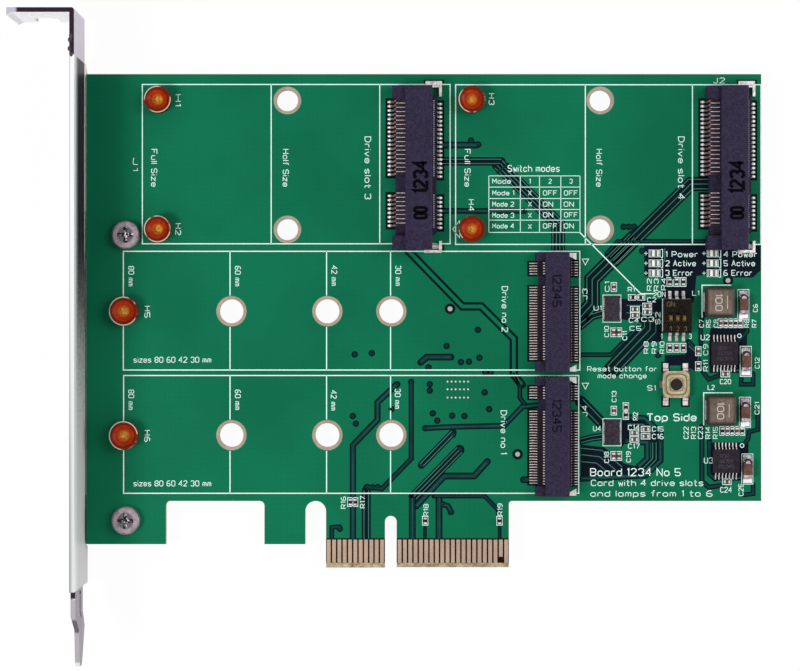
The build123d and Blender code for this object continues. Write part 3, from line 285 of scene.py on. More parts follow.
class Finish:
    """One material: its tree, its object coordinates, its surface shader and the steps that feed it."""

    def __init__(self, name, **fixed):
        self.material = bpy.data.materials.new(name)
        self.material.use_nodes = True
        self.tree = self.material.node_tree
        self.surface = self.tree.nodes["Principled BSDF"]
        for key, value in fixed.items():
            put(self.tree, self.surface.inputs[SHORT[key]], value)
        self.place = self.tree.nodes.new("ShaderNodeTexCoord").outputs["Object"]

    def axes(self, source="Object"):
        """The three parts of the place in metres, or of the face's normal."""
        vector = self.tree.nodes.new("ShaderNodeTexCoord").outputs[source]
        return add(self.tree, "ShaderNodeSeparateXYZ", None, Vector=vector).outputs

    def flat(self):
        """How much the face looks up or down."""
        return self.math("ABSOLUTE", self.axes("Normal")[2])

    def math(self, operation, a, b=0.0, c=0.0):
        return math_node(self.tree, operation, a, b, c)

    def fold(self, operation, values):
        """Many values brought to one by the same step."""
        out, *rest = values
        for value in rest:
            out = self.math(operation, out, value)
        return out

    def times(self, *values):
        return self.fold("MULTIPLY", values)

    def off(self, value, middle):
        """Distance of a coordinate from a place in millimetres."""
        return self.math("ABSOLUTE", self.math("SUBTRACT", value, middle * MM))

    def reach(self, spots):
        """Distance across the board to the nearest of some places in millimetres."""
        x, y, _ = self.axes()
        flat = add(self.tree, "ShaderNodeCombineXYZ", None, _0=x, _1=y).outputs[0]
        return self.fold("MINIMUM", [add(self.tree, "ShaderNodeVectorMath", {"operation": "DISTANCE"}, _0=flat,
                                         _1=(u * MM, v * MM, 0.0)).outputs["Value"] for u, v in spots])

    def ramp(self, value, low, high):
        return ramp(self.tree, value, low, high)

    def span(self, value, low, high):
        """A ramp between two lengths in millimetres."""
        return ramp(self.tree, value, low * MM, high * MM)

    def either(self, second, a, b):
        """One of two values, by a mask."""
        return add(self.tree, "ShaderNodeMix", None, _0=second, _2=a, _3=b).outputs[0]

    def blend(self, factor, a, b):
        return blend(self.tree, factor, a, b)

    def coats(self, rgb, *layers):
        """A colour with others laid over it, each by its own mask."""
        for mask, over in layers:
            rgb = self.blend(mask, rgb, over)
        return rgb

    def mottle(self, light, dark, patch=150.0, grain=2500.0, share=0.4):
        return effect(self.tree, "mottle", Vector=self.place, Light=light, Dark=dark, Patch=patch, Grain=grain,
                      Grain_share=share)

    def brushed(self, stretch, scale):
        return effect(self.tree, "brushed", Vector=self.place, Stretch=stretch, Scale=scale)

    def feed(self, name, socket):
        """Drive one input of the surface shader."""
        put(self.tree, self.surface.inputs[name], socket)

    def done(self, rgb, tones, rough, strength, lift, height=None):
        """Feed the colour, a roughness between two values, and relief with its height in millimetres."""
        self.feed("Base Color", rgb)
        self.feed("Roughness", add(self.tree, "ShaderNodeMapRange", None, Value=tones["Value"], To_Min=rough[0],
                                   To_Max=rough[1]).outputs[0])
        if strength:
            self.feed("Normal", add(self.tree, "ShaderNodeBump", None, Strength=strength, Distance=lift * MM,
                                    Height=tones["Height"] if height is None else height).outputs[0])
        return self


def toned(rgb, factor):
    """A colour made lighter or darker."""
    return tuple(min(1.0, v * factor) for v in rgb[:3])


def grey(v):
    """An even grey."""
    return (v, v, v)


def plain(name, rgb, rough=(0.4, 0.6), patch=200.0, grain=3000.0, share=0.5, spread=0.25, lift=0.02, **fixed):
    """Mottled surface with grain in its colour, roughness and relief."""
    f = Finish(name, **fixed)
    tones = f.mottle(toned(rgb, 1.0 + spread), toned(rgb, 1.0 - spread), patch, grain, share)
    return f.done(tones["Color"], tones, rough, 0.3, lift)


def dress(finish, *names):
    """Give a finish to CAD nodes."""
    for name in names:
        node = NODES[name]
        if not node.material_slots:
            node.data.materials.append(finish.material)
        for slot in node.material_slots:
            slot.material = finish.material


# ---------------------------------------------------------------- mesh helpers


def piece(name, mesh, finish=None):
    """A finished piece that rides the card."""
    obj = bpy.data.objects.new(name, mesh)
    bpy.context.scene.collection.objects.link(obj)
    if finish:
        mesh.materials.append(finish.material)
    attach(obj, CARD)


def mesh_of(name, verts, faces):
    """A mesh from points in millimetres."""
    mesh = bpy.data.meshes.new(name)
    mesh.from_pydata([tuple(c * MM for c in v) for v in verts], [], faces)
    mesh.update()
    return mesh


def ribbon(points, width, z, closed=False):
    """Verts and faces of a flat strip along a polyline, with mitred corners."""
    pts = [Vector((p[0], p[1])) for p in points]
    n = len(pts)
    verts, faces = [], []
    for i, p in enumerate(pts):
        before = pts[i - 1] if i or closed else None
        after = pts[(i + 1) % n] if i < n - 1 or closed else None
        a = (p - before).normalized() if before is not None else None
        b = (after - p).normalized() if after is not None else None
        a, b = a or b, b or a
        side = Vector((-(a.y + b.y), a.x + b.x))
        side.normalize()
        half = width / 2 / max(0.35, side.dot(Vector((-a.y, a.x))))
        verts += [(p.x + side.x * half, p.y + side.y * half, z), (p.x - side.x * half, p.y - side.y * half, z)]
    for i in range(n if closed else n - 1):
        j = (i + 1) % n
        faces.append((2 * i, 2 * i + 1, 2 * j + 1, 2 * j))
    return verts, faces


class Sheet:
    """Flat shapes gathered into one mesh."""

    def __init__(self):
        self.verts, self.faces = [], []

    def mesh(self, name):
        return mesh_of(name, self.verts, self.faces)

    def join(self, verts, faces):
        n = len(self.verts)
        self.verts += verts
        self.faces += [tuple(i + n for i in f) for f in faces]

    def line(self, points, width, z, closed=False):
        self.join(*ribbon(points, width, z, closed))

    def frame(self, x0, y0, x1, y1, width, z, more=0.0):
        x0, y0, x1, y1 = x0 - more, y0 - more, x1 + more, y1 + more
        self.line([(x0, y0), (x1, y0), (x1, y1), (x0, y1)], width, z, True)

    def field(self, points, z):
        self.join([(x, y, z) for x, y in points], [tuple(range(len(points)))])

    def block(self, x0, y0, x1, y1, z, more=0.0):
        x0, y0, x1, y1 = x0 - more, y0 - more, x1 + more, y1 + more
        self.field(((x0, y0), (x1, y0), (x1, y1), (x0, y1)), z)

    def disc(self, x, y, r, z, sides=20):
        self.field(round_points(x, y, r, sides), z)


def round_points(x, y, r, sides):
    """Points round a circle."""
    return [(x + r * math.cos(2 * math.pi * k / sides), y + r * math.sin(2 * math.pi * k / sides))
            for k in range(sides)]


def repeat_tree(shape):
    """A node tree that stands one small shape on every point: a disc, a bar or a bead."""
    tree = bpy.data.node_groups.new("repeat " + shape, "GeometryNodeTree")
    for label, kind in (("Points", "Geometry"), ("Size", "Vector"), ("Sides", "Int"), ("Finish", "Material")):
        tree.interface.new_socket(label, in_out="INPUT", socket_type="NodeSocket" + kind)
    tree.interface.new_socket("Pieces", in_out="OUTPUT", socket_type="NodeSocketGeometry")
    start, end = tree.nodes.new("NodeGroupInput").outputs, tree.nodes.new("NodeGroupOutput")
    if shape == "bar":
        body = add(tree, "GeometryNodeMeshCube", None, Size=start["Size"]).outputs["Mesh"]
    else:
        if shape == "disc":
            body = add(tree, "GeometryNodeMeshCylinder", None, Vertices=start["Sides"], Radius=0.5, Depth=1.0)
        else:
            body = add(tree, "GeometryNodeMeshUVSphere", None, Segments=start["Sides"], Rings=5, Radius=0.5)
        body = add(tree, "GeometryNodeTransform", None, Geometry=body.outputs["Mesh"],
                   Scale=start["Size"]).outputs[0]
    stand = add(tree, "GeometryNodeInstanceOnPoints", None, Points=start["Points"], Instance=body)
    real = add(tree, "GeometryNodeRealizeInstances", None, Geometry=stand.outputs[0])
    done = add(tree, "GeometryNodeSetMaterial", None, Geometry=real.outputs[0], Material=start["Finish"])
    tree.links.new(done.outputs[0], end.inputs["Pieces"])
    return tree


REPEATS = {}


def repeat(name, shape, places, size, finish, sides=12):
    """A small shape stood on many places in millimetres, made one plain mesh that rides the card."""
    if shape not in REPEATS:
        REPEATS[shape] = repeat_tree(shape)
    tree = REPEATS[shape]
    obj = bpy.data.objects.new(name + "_points", mesh_of(name + "_points", places, []))
    bpy.context.scene.collection.objects.link(obj)
    mod = obj.modifiers.new("repeat", "NODES")
    mod.node_group = tree
    keys = {i.name: i.identifier for i in tree.interface.items_tree if i.in_out == "INPUT"}
    mod[keys["Size"]] = [c * MM for c in size]
    mod[keys["Sides"]] = sides
    mod[keys["Finish"]] = getattr(finish, "material", finish)
    obj.update_tag()
    mesh = bpy.data.meshes.new_from_object(obj.evaluated_get(bpy.context.evaluated_depsgraph_get()))
    mesh.name = name
    bpy.data.objects.remove(obj)
    piece(name, mesh)


def islands(node):
    """The box of each separate solid of a CAD node, in millimetres."""
    mesh = bmesh.new()
    mesh.from_mesh(NODES[node].data)
    bmesh.ops.remove_doubles(mesh, verts=mesh.verts, dist=1e-6)
    seen, out = set(), []
    for v in mesh.verts:
        if v in seen:
            continue
        pile, part = [v], []
        seen.add(v)
        while pile:
            w = pile.pop()
            part.append(w.co / MM)
            for e in w.link_edges:
                o = e.other_vert(w)
                if o not in seen:
                    seen.add(o)
                    pile.append(o)
        out.append([f(p[k] for p in part) for f in (min, max) for k in range(3)])
    mesh.free()
    return out


def mid(box):
    """The middle of a solid's box, across the board."""
    return (box[0] + box[3]) / 2, (box[1] + box[4]) / 2


def outfits(bodies, ends):
    """The box of each small part with its end caps."""
    caps = islands(ends)
    out = []
    for b in islands(bodies):
        box = list(b)
        for c in caps:
            if all(c[k] < b[k + 3] + END_TOUCH and c[k + 3] > b[k] - END_TOUCH for k in range(2)):
                box = [min(box[k], c[k]) for k in range(3)] + [max(box[k + 3], c[k + 3]) for k in range(3)]
        out.append(box)
    return out


PASSIVES = ("resistor", "small_capacitor", "large_capacitor")


def small_parts():
    """The box of every small part on the front, with its end caps."""
    return [box for kind in PASSIVES for box in outfits(kind + "_bodies", kind + "_ends")]


# Stroke letters. Each pair is a column from 0 to 8 and a row as a hex digit: feet at 3, capitals up to f.
MIDDLE_ROW, CAPITAL, SPACE, LETTER_GAP = 9, 12.0, 6.0, 3.4
THIN_PEN = 0.12
STROKES = {
    "A": "034f83 1777", "B": "030f6f8d8b6909 6987856303", "C": "8d6f2f0d05236385", "D": "030f5f8c865303",
    "E": "8f0f0383 0969", "F": "8f0f03 0969", "H": "0f03 8f83 0989", "J": "6f65532305", "L": "0f0383",
    "M": "030f488f83", "N": "030f838f", "O": "2f0d052363858d6f2f", "P": "030f6f8d8a6808",
    "R": "030f6f8d8a6808 4883", "S": "8d6f2f0d0b29698785632305", "T": "0f8f 4f43", "U": "0f052363858f",
    "X": "0f83 038f", "0": "2f0d052363858d6f2f", "1": "2d4f43", "2": "0d2f6f8d8b0383",
    "3": "0d2f6f8d8b698785632305", "4": "636f0787", "5": "8f0f09698785632305", "6": "7f3f0b05236385876909",
    "7": "0f8f33", "8": "2f0d0b296987856323050729 698b8d6f2f", "9": "1353878d6f2f0d0b2989",
    "a": "7b73 795b2b0905235375", "b": "0f03 092b5b7975532305", "c": "795b2b0905235375",
    "d": "7f73 795b2b0905235375", "e": "0777795b2b0905235375", "f": "5f3f2d23 0b4b",
    "g": "7b715010 795b2b0905235375", "h": "0f03 092b5b7973", "i": "1b13 1e1f", "l": "1f13",
    "m": "0b03 091b3b4943 495b7b8983", "n": "0b03 092b5b7973", "o": "2b0905235375795b2b",
    "p": "0b00 092b5b7975532305", "r": "0b03 092b5b", "s": "7a5b2b09275775532304", "t": "2f243353 0b5b",
    "u": "0b05235375 7b73", "v": "0b337b", "w": "0b2339637b", "z": "0b7b0373", "-": "0989",
}


def lettering(name, rows, z, finish, weight=0.115):
    """A piece of stroke letters. A row is the word, its middle, capital height, length, turn and, if bold, pen."""
    sheet = Sheet()
    for word, x, y, height, long, turn, *bold in rows:
        strokes, pen = [], 0.0
        for letter in word:
            if letter == " ":
                pen += SPACE
                continue
            glyph = [[(int(part[k]), int(part[k + 1], 16) - MIDDLE_ROW)
                      for k in range(0, len(part), 2)] for part in STROKES[letter].split()]
            left = min(px for part in glyph for px, _ in part)
            right = max(px for part in glyph for px, _ in part)
            strokes += [[(px - left + pen, py) for px, py in part] for part in glyph]
            pen += right - left + LETTER_GAP
        wide = max(pen - LETTER_GAP, 0.5)
        pen_w = bold[0] if bold else max(THIN_PEN, weight * height)
        k, h = (long - pen_w) / wide if wide > 1 else 0.0, (height - pen_w) / CAPITAL
        c, d = math.cos(math.radians(turn)), math.sin(math.radians(turn))
        for part in strokes:
            flat = [((px - wide / 2) * k, py * h) for px, py in part]
            points = [(x + u * c - v * d, y + u * d + v * c) for u, v in flat]
            closed = len(points) > 3 and part[0] == part[-1]
            sheet.line(points[:-1] if closed else points, pen_w, z, closed)
    piece(name, sheet.mesh(name), finish)


# ---------------------------------------------------------------- operators


class CARD_OT_board(bpy.types.Operator):
    """Solder mask and laminate on the board, gold on its contacts"""

    bl_idname = "drive_card.board"
    bl_label = "Board"

    def execute(self, context):
        s = context.scene.card_board
        f = Finish("solder_mask", spec=0.04)
        x, y, _ = f.axes()
        patches = f.mottle(toned(s.mask, 1.12), toned(s.mask, 0.86), 45.0, 4000.0, 0.2)
        weave = f.times(*(add(f.tree, "ShaderNodeTexWave", {"bands_direction": way}, Vector=f.place, Scale=330.0,
                              Distortion=0.6).outputs["Fac"] for way in "XY"))
        bare = f.blend(f.brushed((1.0, 1.0, 12.0), 900.0)["Value"], toned(s.laminate, 0.75),
                       toned(s.laminate, 1.15))
        wear_and_edge_shade = f.mottle(s.cut_light, s.cut_dark, 900.0, 3000.0)["Color"]
        fingers = f.span(x, -13.6, -13.5)
        face = f.coats(f.blend(f.times(weave, 0.12), patches["Color"], s.mask_deep),
                       (f.times(fingers, f.span(y, 5.6, 5.45)), (0.01, 0.0025, 0.001)),
                       (f.times(fingers, f.span(y, 0.95, 0.8)), wear_and_edge_shade))
        top = f.ramp(f.flat(), 0.85, 0.95)
        f.done(f.blend(top, f.blend(fingers, bare, wear_and_edge_shade), face), patches, (0.38, 0.5), 0.12, 0.012, weave)
        dress(f, "circuit_board")
        gold = context.scene.card_metal.gold
        f = Finish("contact_gold", metal=0.4, spec=0.3)
        patches = f.mottle(toned(gold, 1.15), toned(gold, 0.85))
        dress(f.done(patches["Color"], f.brushed((6.0, 0.5, 1.0), 3000.0), (0.35, 0.5), 0.25, 0.01),
              "edge_contacts_front", "edge_contacts_back")
        return {"FINISHED"}


def bracket_finish(steel):
    """Plated sheet with black burrs, and painted light: bright cut edges with painted shade across them lower down,
    a painted highlight on the underside, and a painted dark reflection on the inner face that clears towards the
    tail.
    """
    f = Finish("bracket_steel", spec=0.08)
    x, y, z = f.axes()
    looks_x, looks_y, _ = f.axes("Normal")
    lines = f.brushed((1.0, 0.05, 1.0), 2400.0)
    cloud = f.mottle(toned(steel, 1.08), toned(steel, 0.9), 120.0)
    specks = effect(f.tree, "specks", Vector=f.place, Scale=900.0, Size=0.3)["Mask"]
    uneven = f.math("MULTIPLY_ADD", cloud["Height"], 0.012, f.times(lines["Value"], 0.006))
    deep = f.span(z, 15.4, 9.5)
    neck, tail = f.span(y, 94.4, 94.7), f.span(y, -2.9, -3.3)
    # Painted reflection on the inner face: light at the top edge, dark below it, clearing to grey towards the tail,
    # with a light line along its foot. The neck and tail tones are the sheet's own; the dark box over the tail's
    # groove is painted shade.
    inner = f.coats(
        f.blend(deep, grey(0.72), (0.016, 0.012, 0.018)),
        (f.span(f.math("ADD", y, uneven), 70.0, 30.0), f.blend(deep, (0.72, 0.73, 0.72), grey(0.5))),
        (f.times(f.span(z, 1.7, 1.0), f.span(y, 55.0, 62.0)), grey(0.85)),
        (f.times(specks, f.span(z, 7.0, 3.0)), (0.6, 0.6, 0.62)),
        (neck, (0.54, 0.5, 0.57)),
        (tail, (0.27, 0.25, 0.28)),
        (f.times(f.span(f.off(z, 7.3), 0.9, 0.7), f.span(f.off(y, -6.0), 2.7, 2.4)), (0.06, 0.05, 0.065)))
    # Faces looking down the card are painted near white: a painted highlight.
    shut = f.blend(f.ramp(looks_y, -0.4, -0.8), cloud["Color"], (0.95, 0.95, 0.96))
    body = f.blend(f.ramp(looks_x, 0.4, 0.8), shut, inner)
    burr = f.fold("MAXIMUM", (neck, f.times(tail, f.span(y, -4.6, -4.2))))
    burr = f.times(burr, f.math("SUBTRACT", 1.0, f.span(x, -67.6, -68.2)))
    # Painted highlight and shade on the cut edges: light at the top and shaded across the edge lower down, with
    # painted shade at the tail's jog.
    wear_and_edge_shade = f.span(y, 70.0, 0.0)
    edge = f.coats(
        f.blend(wear_and_edge_shade, (0.84, 0.84, 0.86), f.blend(f.span(x, -58.3, -57.5), grey(0.34), grey(0.68))),
        (f.span(x, -58.0, -58.25), f.blend(wear_and_edge_shade, (0.48, 0.46, 0.56), (0.17, 0.17, 0.18))),
        (burr, (0.022, 0.012, 0.022)),
        (f.span(y, -4.4, -4.8), (0.4, 0.365, 0.41)),
        (f.times(f.span(y, -7.9, -8.6), f.span(y, -10.9, -10.3)), (0.11, 0.1, 0.12)),
        (f.span(y, -16.6, -16.9), (0.22, 0.21, 0.21)))
    return f.done(f.blend(f.ramp(f.flat(), 0.6, 0.9), body, edge), lines, (0.4, 0.55), 0.2, 0.01)


def contact_finish(name, tin, foot, rear, pitch=None, first=0.0):
    """Tinned contacts: bright feet, dull from there to the housing, and a bright ridge where a pitch is given."""
    f = Finish(name, metal=0.4, spec=0.3)
    x, y, _ = f.axes()
    tones = f.mottle(toned(tin, 1.2), toned(tin, 0.45), 1800.0)
    dots = f.mottle((0.42, 0.25, 0.24), (0.012, 0.004, 0.008), 2200.0, 4500.0)["Color"]
    dull = f.mottle((0.06, 0.02, 0.03), (0.006, 0.003, 0.006), 1500.0, 4500.0)["Color"]
    dull = f.blend(f.span(x, foot + 0.95, foot + 0.8), dull, dots)
    over = f.times(f.span(x, foot, foot + 0.12), f.span(x, rear + 0.1, rear))
    if pitch:
        turn = f.times(f.math("SUBTRACT", y, first * MM), 2000.0 * math.pi / pitch)
        ridge = f.either(f.math("GREATER_THAN", x, (foot + rear) / 2 * MM), f.math("COSINE", turn),
                         f.math("COSINE", f.math("ADD", turn, math.pi)))
        over = f.fold("MAXIMUM", (over, f.ramp(ridge, 0.8, 0.4)))
    return f.done(f.blend(over, tones["Color"], dull), tones, (0.25, 0.45), 0.2, 0.01)


def large_end_finish():
    """Solder on the large capacitors' ends: a painted dark reflection in an arc over the upper end, and a white
    foot below.
    """
    f = Finish("large_end", metal=0.4, spec=0.3)
    x, y, _ = f.axes()
    boxes = islands("large_capacitor_bodies")
    away = f.reach([(mid(b)[0], b[4] + 0.05) for b in boxes])
    foot = f.fold("MAXIMUM", [f.times(f.span(y, b[1] - 0.7, b[1] - 0.85), f.span(y, b[1] - 1.6, b[1] - 1.5),
                                      f.span(f.off(x, mid(b)[0]), 1.6, 1.5)) for b in boxes])
    tones = f.mottle((0.62, 0.57, 0.6), (0.05, 0.035, 0.04), 1100.0, 3500.0)
    # The arc is a painted dark reflection on the solder fillet.
    arc = f.times(f.span(away, 0.42, 0.5), f.span(away, 0.88, 0.8))
    rgb = f.coats(tones["Color"], (arc, (0.02, 0.012, 0.014)), (foot, (0.8, 0.78, 0.8)))
    return f.done(rgb, tones, (0.25, 0.5), 0.3, 0.03)


def screw_finish(screw):
    """Dull plating, pitted, with painted shade in its recess and painted glints over it."""
    f = Finish("screw_plating", metal=0.5, spec=0.3)
    boxes = islands("bracket_screws")
    top = boxes[0][5]
    tones = f.mottle(toned(screw, 1.2), toned(screw, 0.5), 1100.0, 3500.0)
    flecks = f.mottle(grey(1.0), grey(0.0), 2200.0, 3000.0)
    # Painted glints, laid over painted shade in the recess.
    glint = f.blend(f.ramp(flecks["Value"], 0.5, 0.75), (0.012, 0.007, 0.012), (0.85, 0.82, 0.85))
    near = f.reach(map(mid, boxes))
    deep = f.times(f.span(near, 1.9, 1.6), f.span(f.axes()[2], top - 0.08, top - 0.2))
    rgb = f.coats(tones["Color"], (f.span(near, 1.7, 1.3), toned(screw, 0.35)), (deep, glint))
    return f.done(rgb, tones, (0.3, 0.6), 0.4, 0.04)


def standoff_finish(node, brass):
    """Red brass, paler towards the bore, with a painted highlight in patches on its outer rim."""
    f = Finish(f"{node}_brass", spec=0.12)
    boxes = islands(node)
    radius = (boxes[0][3] - boxes[0][0]) / 2
    near = f.reach(map(mid, boxes))
    tones = f.mottle(toned(brass, 1.25), toned(brass, 0.55), 700.0, 2600.0)
    part = f.mottle(grey(1.0), grey(0.0), 170.0, share=0.1)["Value"]
    # Painted highlight on the outer rim, in patches.
    rim = f.times(f.span(near, radius - 0.24, radius - 0.14), f.ramp(f.flat(), 0.5, 0.7), f.ramp(part, 0.45, 0.65))
    rgb = f.coats(tones["Color"], (f.span(near, radius * 0.5, radius * 0.3), (0.48, 0.13, 0.01)),
                  (f.span(near, radius * 0.66, radius * 0.8), toned(brass, 0.3)), (rim, (0.55, 0.47, 0.34)))
    return f.done(rgb, tones, (0.3, 0.5), 0.3, 0.02)


class CARD_OT_metals(bpy.types.Operator):
    """Plated sheet, screws, standoffs, plated holes and leads"""

    bl_idname = "drive_card.metals"
    bl_label = "Metals"

    def execute(self, context):
        s = context.scene.card_metal
        standoffs = ("msata_standoffs", "m2_standoffs")
        dress(bracket_finish(s.steel), "bracket")
        dress(screw_finish(s.screw), "bracket_screws")
        for node in standoffs:
            dress(standoff_finish(node, s.brass), node)
        floor = plain("bore_floor", (0.62, 0.25, 0.02), (0.3, 0.5), 2500.0, 6000.0, 0.4, 0.75, 0.03, spec=0.3)
        bores = [(*mid(b), FRONT + 0.8) for node in standoffs for b in islands(node)]
        repeat("bore_floors", "disc", bores, (1.62, 1.62, 0.1), floor, sides=20)
        burr = plain("edge_burr", (0.022, 0.012, 0.022), (0.45, 0.6), 900.0, 4000.0, 0.5, 0.4, 0.02)
        burrs = [(x, y, 15.4) for x, y in ((-58.0, 97.9), (-58.2, 97.2), (-58.25, 95.6), (-57.9, 94.6))]
        repeat("edge_burrs", "bead", burrs, (0.7, 1.0, 0.26), burr, sides=10)
        dress(plain("tinned_pad", (0.33, 0.28, 0.22), (0.35, 0.5), 400.0, 2600.0, 0.4, 0.15, 0.01, metal=0.3,
                    spec=0.2), "msata_plated_holes", "m2_plated_holes")
        tin = plain("tinned_lead", toned(s.tin, 0.85), (0.25, 0.45), 1200.0, 4500.0, 0.5, 0.4, 0.01, metal=0.85)
        dress(tin, *(f"{kind}_{k}_hold_downs" for kind in ("msata", "m2") for k in (1, 2)),
              "reset_switch_leads", "signal_chip_pads", "controller_chip_pads", "memory_chip_leads",
              "inductor_feet", "crystal_lid")
        for k, x in enumerate(MSATA_X, 1):
            dress(contact_finish(f"contacts_msata_{k}", s.tin, x - 4.4, x + 4.2), f"msata_{k}_contacts")
        for k, y in enumerate(M2_Y, 1):
            dress(contact_finish(f"contacts_m2_{k}", s.tin, M2_X - 2.75, M2_X + 4.35, M2_PITCH, y + M2_FIRST),
                  f"m2_{k}_contacts")
        dress(lead_finish(s.tin), "regulator_chip_leads")
        dress(plain("dull_lead", toned(s.tin, 0.62), (0.25, 0.45), 1500.0, 4500.0, 0.5, 0.6, 0.01, metal=0.6),
              "dip_switch_leads")
        dress(plain("soldered_end", (0.58, 0.54, 0.55), (0.25, 0.5), 1500.0, 6000.0, 0.5, 0.25, metal=0.6),
              "resistor_ends", "small_capacitor_ends", "back_capacitor_ends")
        dress(large_end_finish(), "large_capacitor_ends")
        return {"FINISHED"}


def cover_finish():
    """Pressed metal cover: rings of painted light and shade stand in for a raised ring round the button, with a
    darker rounded border.
    """
    f = Finish("switch_cover", metal=0.3, spec=0.3)
    x, y, _ = f.axes()
    _, y0, _, x1, y1, _ = islands("reset_switch_cover")[0]
    half = (y1 - y0) / 2
    away = f.math("POWER", f.fold("ADD", [f.math("POWER", f.math("DIVIDE", f.off(value, middle), half * MM), 4.0)
                                          for value, middle in ((x, x1 - half), (y, (y0 + y1) / 2))]), 0.25)
    tones = f.mottle((0.52, 0.47, 0.3), (0.3, 0.25, 0.14), 900.0)
    # The inner bands are painted light and shade of the pressed ring round the button; the outermost band is the
    # darker border.
    rgb = f.coats(tones["Color"], (f.ramp(away, 0.55, 0.5), (0.2, 0.15, 0.08)),
                  (f.ramp(away, 0.47, 0.43), (0.5, 0.45, 0.3)),
                  (f.times(f.ramp(away, 0.7, 0.74), f.ramp(away, 0.84, 0.8)), (0.14, 0.11, 0.06)),
                  (f.ramp(away, 1.0, 1.06), (0.1, 0.08, 0.05)))
    return f.done(rgb, tones, (0.3, 0.5), 0.2, 0.01)


def inductor_finish():
    """Grey-brown pressed powder with fine upright streaks and darker edges."""
    f = Finish("inductor_resin", spec=0.2)
    x, y, _ = f.axes()
    boxes = islands("inductor_bodies")
    half = (boxes[0][3] - boxes[0][0]) / 2
    near = f.fold("MINIMUM", [f.fold("MAXIMUM", (f.off(x, u), f.off(y, v))) for u, v in map(mid, boxes)])
    tones = f.mottle((0.165, 0.124, 0.098), (0.066, 0.045, 0.033), 700.0, 6000.0)
    streaks = f.times(f.brushed((1.0, 0.06, 1.0), 3200.0)["Value"], 0.4)
    rgb = f.coats(tones["Color"], (streaks, (0.22, 0.175, 0.145)),
                  (f.span(near, half - 0.75, half - 0.1), (0.03, 0.02, 0.016)))
    return f.done(rgb, tones, (0.5, 0.7), 0.3, 0.03)


def lead_finish(tin):
    """Fine leads on both regulator chips, with painted shade at their sides, so that they show bright only along
    their middle.
    """
    f = Finish("fine_lead", metal=0.4, spec=0.3)
    x, y, _ = f.axes()
    boxes = islands("regulator_chip_leads")
    split = (min(b[1] for b in boxes) + max(b[4] for b in boxes)) / 2
    rows = [sorted(mid(b)[0] for b in boxes if (b[1] > split) == upper) for upper in (False, True)]
    pitch = min(b - a for a, b in zip(rows[1], rows[1][1:]) if b - a > 0.2)
    first = f.either(f.math("GREATER_THAN", y, split * MM), rows[0][0] * MM, rows[1][0] * MM)
    turn = f.times(f.math("SUBTRACT", x, first), 2000.0 * math.pi / pitch)
    tones = f.mottle(toned(tin, 1.2), toned(tin, 0.6), 1500.0)
    # Painted shade at each lead's sides.
    middle = f.ramp(f.math("COSINE", turn), 0.45, 0.8)
    return f.done(f.blend(middle, (0.03, 0.02, 0.03), tones["Color"]), tones, (0.25, 0.45), 0.2, 0.01)


def lamp_finish():
    """Clear lamp: milky dome, grey die cup and a dark wire."""
    f = Finish("lamp_lens", coat=0.4)
    x = f.axes()[0]
    boxes = islands("status_lamp_lenses")
    left, right = min(b[0] for b in boxes), max(b[0] for b in boxes)
    wide = boxes[0][3] - boxes[0][0]
    start = f.either(f.math("GREATER_THAN", x, (left + right) / 2 * MM), left * MM, right * MM)
    across = f.math("DIVIDE", f.math("SUBTRACT", x, start), wide * MM)
    tones = f.mottle((0.95, 0.95, 0.9), (0.7, 0.72, 0.68), 1500.0)
    rgb = f.coats(tones["Color"], (f.ramp(across, 0.42, 0.52), grey(0.1)),
                  (f.ramp(across, 0.78, 0.84), (0.8, 0.8, 0.78)), (f.ramp(across, 0.12, 0.06), (0.05, 0.07, 0.07)))
    return f.done(rgb, tones, (0.2, 0.35), 0.0, 0.0)


